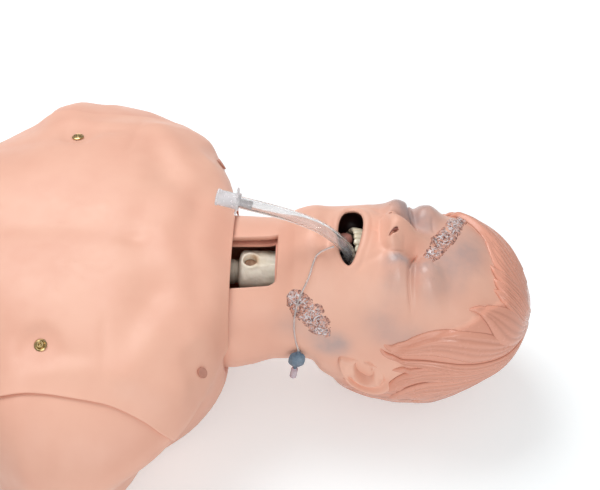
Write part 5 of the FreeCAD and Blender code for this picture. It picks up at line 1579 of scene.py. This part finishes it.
@dataclass
class UpperTeeth:
    """The upper row of teeth, each a rounded block on the jaw's arch."""

    count: int = 12
    half: float = 28.0
    front: float = 78.0
    rear: float = 40.0
    edge: float = -40.0
    gum: float = -31.0
    thick: float = 3.6
    extra: float = 3.6
    sharp: float = 0.62
    pitch: float = 0.235
    hinge: tuple[float, float, float] = (228.0, 0.0, 111.0)

    def tooth(self, number: float) -> Array:
        """One tooth's rings.

        Formula: a ball whose three sides are squared by an exponent of 0.62, narrower at the
        gum, set square to an oval arch.
        """
        turn = number * self.pitch
        side = self.half * math.sin(turn)
        ahead = self.rear + (self.front - self.rear) * math.cos(turn) ** 0.8
        longer = self.extra * float(ease(np.array((side + 14.0) / 9.0)))
        low, high = self.edge - longer, self.gum
        v = np.linspace(0.03, np.pi - 0.03, 22)[:, None]
        w = full_circle(26)[None]
        girth, square = squared(np.sin(v), self.sharp), squared(np.cos(w), self.sharp)
        up = (low + high) / 2 + (high - low) / 2 * squared(np.cos(v), self.sharp) + 0 * w
        share = (up - low) / (high - low)
        wide = (3.9 - 0.10 * abs(number)) * (1.0 - 0.14 * share) * girth * square
        deep = self.thick * girth * squared(np.sin(w), self.sharp) * (0.62 + 0.38 * share)
        along = np.array([math.cos(turn * 1.15), -math.sin(turn * 1.15)])
        y = side + wide * along[0] + deep * -along[1]
        forward = ahead + wide * along[1] + deep * along[0]
        up_way, front_way = np.array([0.9455, 0, -0.3256]), np.array([0.3256, 0, 0.9455])
        return (np.array(self.hinge) + up[..., None] * up_way + forward[..., None] * front_way
                + y[..., None] * np.array([0, 1.0, 0]))

    def build(self) -> None:
        """Make the row as one piece."""
        places = np.arange(self.count) - (self.count - 1) / 2
        row = join("upper_row", [closed_loft("tooth", self.tooth(float(n))) for n in places])
        dress(row, Part.TEETH.value.material())
        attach(row, "head")
        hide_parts("upper_teeth")
        log.info("upper teeth")


@dataclass
class Connector:
    """The frosted connector in the breathing tube's end, with its winged flange."""

    end: tuple[float, float, float] = (105.2, -2.0, 248.3)
    before: tuple[float, float, float] = (134.0, -7.5, 245.0)
    radius: float = 7.5
    bore: float = 5.9
    length: float = 22.0
    span: float = 18.0
    finish: Part = Part.CONNECTOR

    def frame(self) -> tuple[Array, Array, Array, Array]:
        """Its place, the way out of the tube, and two ways square to it."""
        out = unit(np.array(self.end) - np.array(self.before))
        across = unit(np.cross(np.array([0.0, 0.0, 1.0]), out))
        return np.array(self.end), out, across, np.cross(out, across)

    def turned(self, name: str, profile: list[tuple[float, float]]) -> bpy.types.Object:
        """A closed turned shell through (radius, place) points, back to its first one."""
        at, out, across, up = self.frame()
        w = full_circle(72)[None, :, None]
        rows = np.array(profile + [profile[0]])
        rings = (at + out * rows[:, 1, None, None]
                 + (across * np.cos(w) + up * np.sin(w)) * rows[:, 0, None, None])
        thing = make_mesh(name, rings, grid_faces(len(rows), 72, True))
        tidy(thing)
        return thing

    def wing(self) -> bpy.types.Object:
        """The flange's two wings, with waved edges and a rounded rim.

        Formula: a slab whose half width in plan is 3.2 mm and wider at its tips, waved by a
        sine along its length, with superellipse sections.
        """
        at, out, across, up = self.frame()
        v = np.linspace(-1, 1, 61)[:, None]
        w = full_circle(28)[None]
        tip = np.sqrt(np.clip(1 - np.abs(v) ** 9, 0.01, 1))
        half = (3.3 + 1.0 * np.abs(v) ** 2 + 0.45 * np.cos(v * 26)) * tip
        long = v * self.span + 0 * w
        slant = np.abs(v) * 1.6
        thick = 1.15 * tip * squared(np.sin(w), 0.6)
        rings = (at + across * (half * squared(np.cos(w), 0.6))[..., None] + up * long[..., None]
                 + out * (1.4 + slant + thick)[..., None])
        return closed_loft("wing", rings)

    def build(self) -> None:
        """Make the connector as one piece."""
        rim, bore, long = self.radius, self.bore, self.length
        spigot = [(3.9, -11.8), (3.9, -0.2)]
        flange = [(8.0, 0.0), (8.5, 0.5), (8.5, 2.2), (8.1, 2.7), (7.6, 3.4)]
        barrel = [(rim - 0.25, 6.0), (rim - 0.1, long - 2.4), (rim + 0.45, long - 1.9),
                  (rim + 0.5, long - 0.5), (rim + 0.1, long)]
        inside = [(bore + 0.4, long), (bore, long - 0.7), (bore, 5.0), (3.3, 2.2), (3.2, -11.8)]
        body = self.turned("body", spigot + flange + barrel + inside)
        whole = join("connector", [body, self.wing()])
        dress(whole, self.finish.value.material())
        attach(whole, "head")
        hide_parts("tube_connector")
        log.info("connector")


@dataclass
class VoiceBox:
    """The cast voice box in the neck's window, with a ringed opening and a trough."""

    hole: tuple[float, float] = (113.0, -1.0)
    finish: CastCream = CastCream("cast voice box", (0.1145, -0.001, 0.1655))

    def build(self) -> None:
        """Make the casting inside the box of the solid one.

        Formula: ovals along the box; in front a raised ring round the opening, a
        shaft that falls by an eased share of the distance, a trough to its right, a keel and
        soft lumps are added to the radius.
        """
        low, high = (np.array(corner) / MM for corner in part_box("larynx"))
        middle, half = (low + high) / 2, (high - low) / 2
        x = np.concatenate([np.linspace(low[0], 98, 14, endpoint=False), np.linspace(98, 132, 86),
                            np.linspace(132.6, high[0], 12)])
        angle = np.linspace(-np.pi, np.pi, 260, endpoint=False)
        xx, aa = np.meshgrid(x, angle, indexing="ij")
        share = (xx - low[0]) / (high[0] - low[0])
        ends = np.clip(1 - np.abs(2 * share - 1) ** 16, 0.04, 1) ** 0.3
        radius = oval_radius(aa, half[1] * 0.99, half[2] * 0.985, half[2] * 0.985, 2.3, 2.3) * ends
        y = radius * np.sin(aa)
        front = ease((np.cos(aa) - 0.1) / 0.4)
        away = np.hypot(xx - self.hole[0], (y - self.hole[1]) * 0.95)
        ring = 1.6 * bell((away - 8.4) / 2.3)
        trough = 3.4 * bell((y - self.hole[1] + 0.22 * (xx - 120)) / 3.6) * ease((xx - 117) / 4.0)
        keel = 1.2 * bell((y + 9.5 - 0.25 * (xx - 118)) / 2.4) * ease((xx - 110.0) / 9.0)
        neck = 2.4 * bell((xx - 101.0) / 3.2) + 1.6 * ease((101.0 - xx) / 3.0)
        rough = lumps(np.stack([xx, y, middle[2] + radius * np.cos(aa)], -1), 9.0, 31, 4)
        relief = front * (ring - trough + keel - neck - 1.6 + 1.1 * rough)
        shaft = 15.0 * ease((7.0 - away) / 2.2) * (np.cos(aa) > 0)
        radius = radius + relief
        place = np.stack([xx, middle[1] + radius * np.sin(aa), middle[2] + radius * np.cos(aa)], -1)
        place[..., 2] -= shaft
        body = closed_loft("voice_box", place)
        dress(body, self.finish.material())
        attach(body, "head")
        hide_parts("larynx")
        log.info("voice box")


@dataclass
class Windpipe:
    """The ringed hose from the torso to the voice box, which bends as the head tilts."""

    rings: int = 9
    ridge: float = 1.4
    wall: float = 1.6
    finish: Part = Part.HOSE

    def build(self) -> None:
        """Make the hose in the box of the solid one.

        Formula: circles along the box whose radius rises by an eased wave for each
        ring, with small lumps, and an inner face that runs back to the start.
        """
        low, high = (np.array(corner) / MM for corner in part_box("windpipe"))
        middle, crest = (low + high) / 2, (high[1] - low[1]) / 2
        share, back = np.linspace(0, 1, 190), np.linspace(1, 0, 30)
        phase = (share * self.rings) % 1.0
        wave = ease((phase - 0.28) / 0.14) * ease((0.84 - phase) / 0.14)
        radius = np.concatenate([crest - self.ridge + self.ridge * wave,
                                 0 * back + crest - self.ridge - self.wall])
        x = low[0] + (high[0] - low[0]) * np.concatenate([share, back])
        w = full_circle(72)[None]
        ways = np.stack([0 * w, np.sin(w), np.cos(w)], -1)
        points = radius[:, None, None] * ways + np.array([0.0, middle[1], middle[2]])
        points[..., 0] = x[:, None]
        rough = 0.35 * lumps(points, 6.0, 17)
        rough[len(share):] = 0.0
        points = points + ways * rough[..., None]
        points = np.concatenate([points, points[:1]])
        hose = make_mesh("windpipe_hose", points, grid_faces(len(points), 72, True))
        tidy(hose)
        dress(hose, self.finish.value.material())
        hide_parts("windpipe")
        level = float(middle[2]) * MM
        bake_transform(hose, "torso", "head", start=(0.028, 0.0, level), end=(0.098, 0.0, level))
        log.info("windpipe")


def dress_frame_pieces() -> None:
    """Give each of the frame's pieces its material, the hidden ones too."""
    for part, names in FRAME_PIECES.items():
        material = part.value.material()
        for name in names:
            dress(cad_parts[name], material)
    spare = Plain("hidden vinyl", (0.86, 0.48, 0.36), (0.80, 0.42, 0.31), 40.0).material()
    for name in SHOWN_BY_NEW_PIECES:
        dress(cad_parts[name], spare)
    log.info("finishes of %d frame pieces", len(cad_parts))


@dataclass
class Studio:
    """A pale floor, soft lamps and the camera at the photograph's angle."""

    target: tuple[float, float, float] = (0.161, 0.0, 0.188)
    distance: float = 1.5
    elevation: float = 49.0
    azimuth: float = 2.0
    lens: float = 94.26
    floor_half: float = 4.0
    floor_glow: float = 0.30
    world_level: float = 0.42
    lamps: tuple = (("key", (-0.5, 0.9, 1.9), 1.3, 26.0), ("fill", (0.3, -1.7, 1.2), 1.3, 10.5),
                    ("spark", (0.8, -1.45, 0.85), 0.2, 2.5))

    def camera(self) -> None:
        """Place the camera on its line of sight, level, and make it the scene's own."""
        a, e = math.radians(self.azimuth), math.radians(self.elevation)
        back = Vector((math.sin(a) * math.cos(e), -math.cos(a) * math.cos(e), math.sin(e)))
        data = bpy.data.cameras.new("camera")
        data.lens = self.lens
        data.sensor_width = 36.0
        camera = bpy.data.objects.new("camera", data)
        bpy.context.scene.collection.objects.link(camera)
        camera.location = Vector(self.target) + back * self.distance
        camera.rotation_euler = (-back).to_track_quat("-Z", "Y").to_euler()
        bpy.context.scene.camera = camera

    def floor(self) -> None:
        """A wide sheet that stays near white to the camera and keeps soft shadows."""
        side = np.linspace(-1, 1, 9) * self.floor_half / MM
        x, y = np.meshgrid(side, side, indexing="ij")
        sheet = make_mesh("floor", np.stack([x, y, 0 * x - 0.2], -1), grid_faces(9, 9))
        tree = Tree("floor paint")
        tree.set(Base_Color=(0.84, 0.90, 0.92), Roughness=0.95, Specular_IOR_Level=0.1)
        glow = tree.add("ShaderNodeEmission")
        glow.inputs["Color"].default_value = (1.0, 1.0, 1.0, 1.0)
        lit = tree.sum(tree.seen_by("Camera", "Glossy", "Transmission"), self.floor_glow, "MULTIPLY")
        tree.links.new(lit, glow.inputs["Strength"])
        mix = tree.add("ShaderNodeAddShader")
        tree.links.new(tree.shader.outputs[0], mix.inputs[0])
        tree.links.new(glow.outputs[0], mix.inputs[1])
        end = next(n for n in tree.nodes if n.type == "OUTPUT_MATERIAL")
        tree.links.new(mix.outputs[0], end.inputs["Surface"])
        dress(sheet, tree.material)

    def lamp(self, name: str, place: tuple, size: float, power: float) -> None:
        """A square soft lamp that looks at the object."""
        data = bpy.data.lights.new(name, "AREA")
        data.size = size
        data.energy = power
        lamp = bpy.data.objects.new(name, data)
        lamp.location = place
        aim = Vector((0.1, 0, 0.1)) - Vector(place)
        lamp.rotation_euler = aim.to_track_quat("-Z", "Y").to_euler()
        bpy.context.scene.collection.objects.link(lamp)

    def light(self) -> None:
        """Soft light from behind, a weaker fill, a small lamp for highlights, and a pale world."""
        for lamp in self.lamps:
            self.lamp(*lamp)
        world = bpy.data.worlds.new("pale")
        bpy.context.scene.world = world
        world.use_nodes = True
        nodes, links = world.node_tree.nodes, world.node_tree.links
        back = nodes["Background"]
        back.inputs["Color"].default_value = (1.0, 1.0, 1.0, 1.0)
        path = nodes.new("ShaderNodeLightPath")
        seen = nodes.new("ShaderNodeMath")
        seen.operation = "ADD"
        links.new(path.outputs["Is Camera Ray"], seen.inputs[0])
        links.new(path.outputs["Is Transmission Ray"], seen.inputs[1])
        level = nodes.new("ShaderNodeMapRange")
        level.inputs["To Min"].default_value = self.world_level
        level.inputs["To Max"].default_value = 1.0
        links.new(seen.outputs[0], level.inputs["Value"])
        links.new(level.outputs["Result"], back.inputs["Strength"])
        bpy.context.scene.view_settings.view_transform = "Standard"


def main() -> None:
    """Build the scene: camera and line first, then each assembly, then light."""
    logging.basicConfig(level=logging.INFO, format="%(message)s")
    studio = Studio()
    studio.camera()
    InflationLine().build()
    form = HeadForm()
    skin = HeadSkin(form)
    dress_frame_pieces()
    skin.build()
    Nostrils(skin).build()
    Hair(form, skin.finish).build()
    Wounds(form).build()
    Ears().build()
    MouthLining(skin).build()
    UpperTeeth().build()
    Tongue().build()
    Connector().build()
    VoiceBox().build()
    Windpipe().build()
    torso = TorsoForm()
    TorsoBody(torso, form).build()
    ChestSkin(torso).build()
    studio.floor()
    studio.light()


if __name__ == "__main__":
    main()
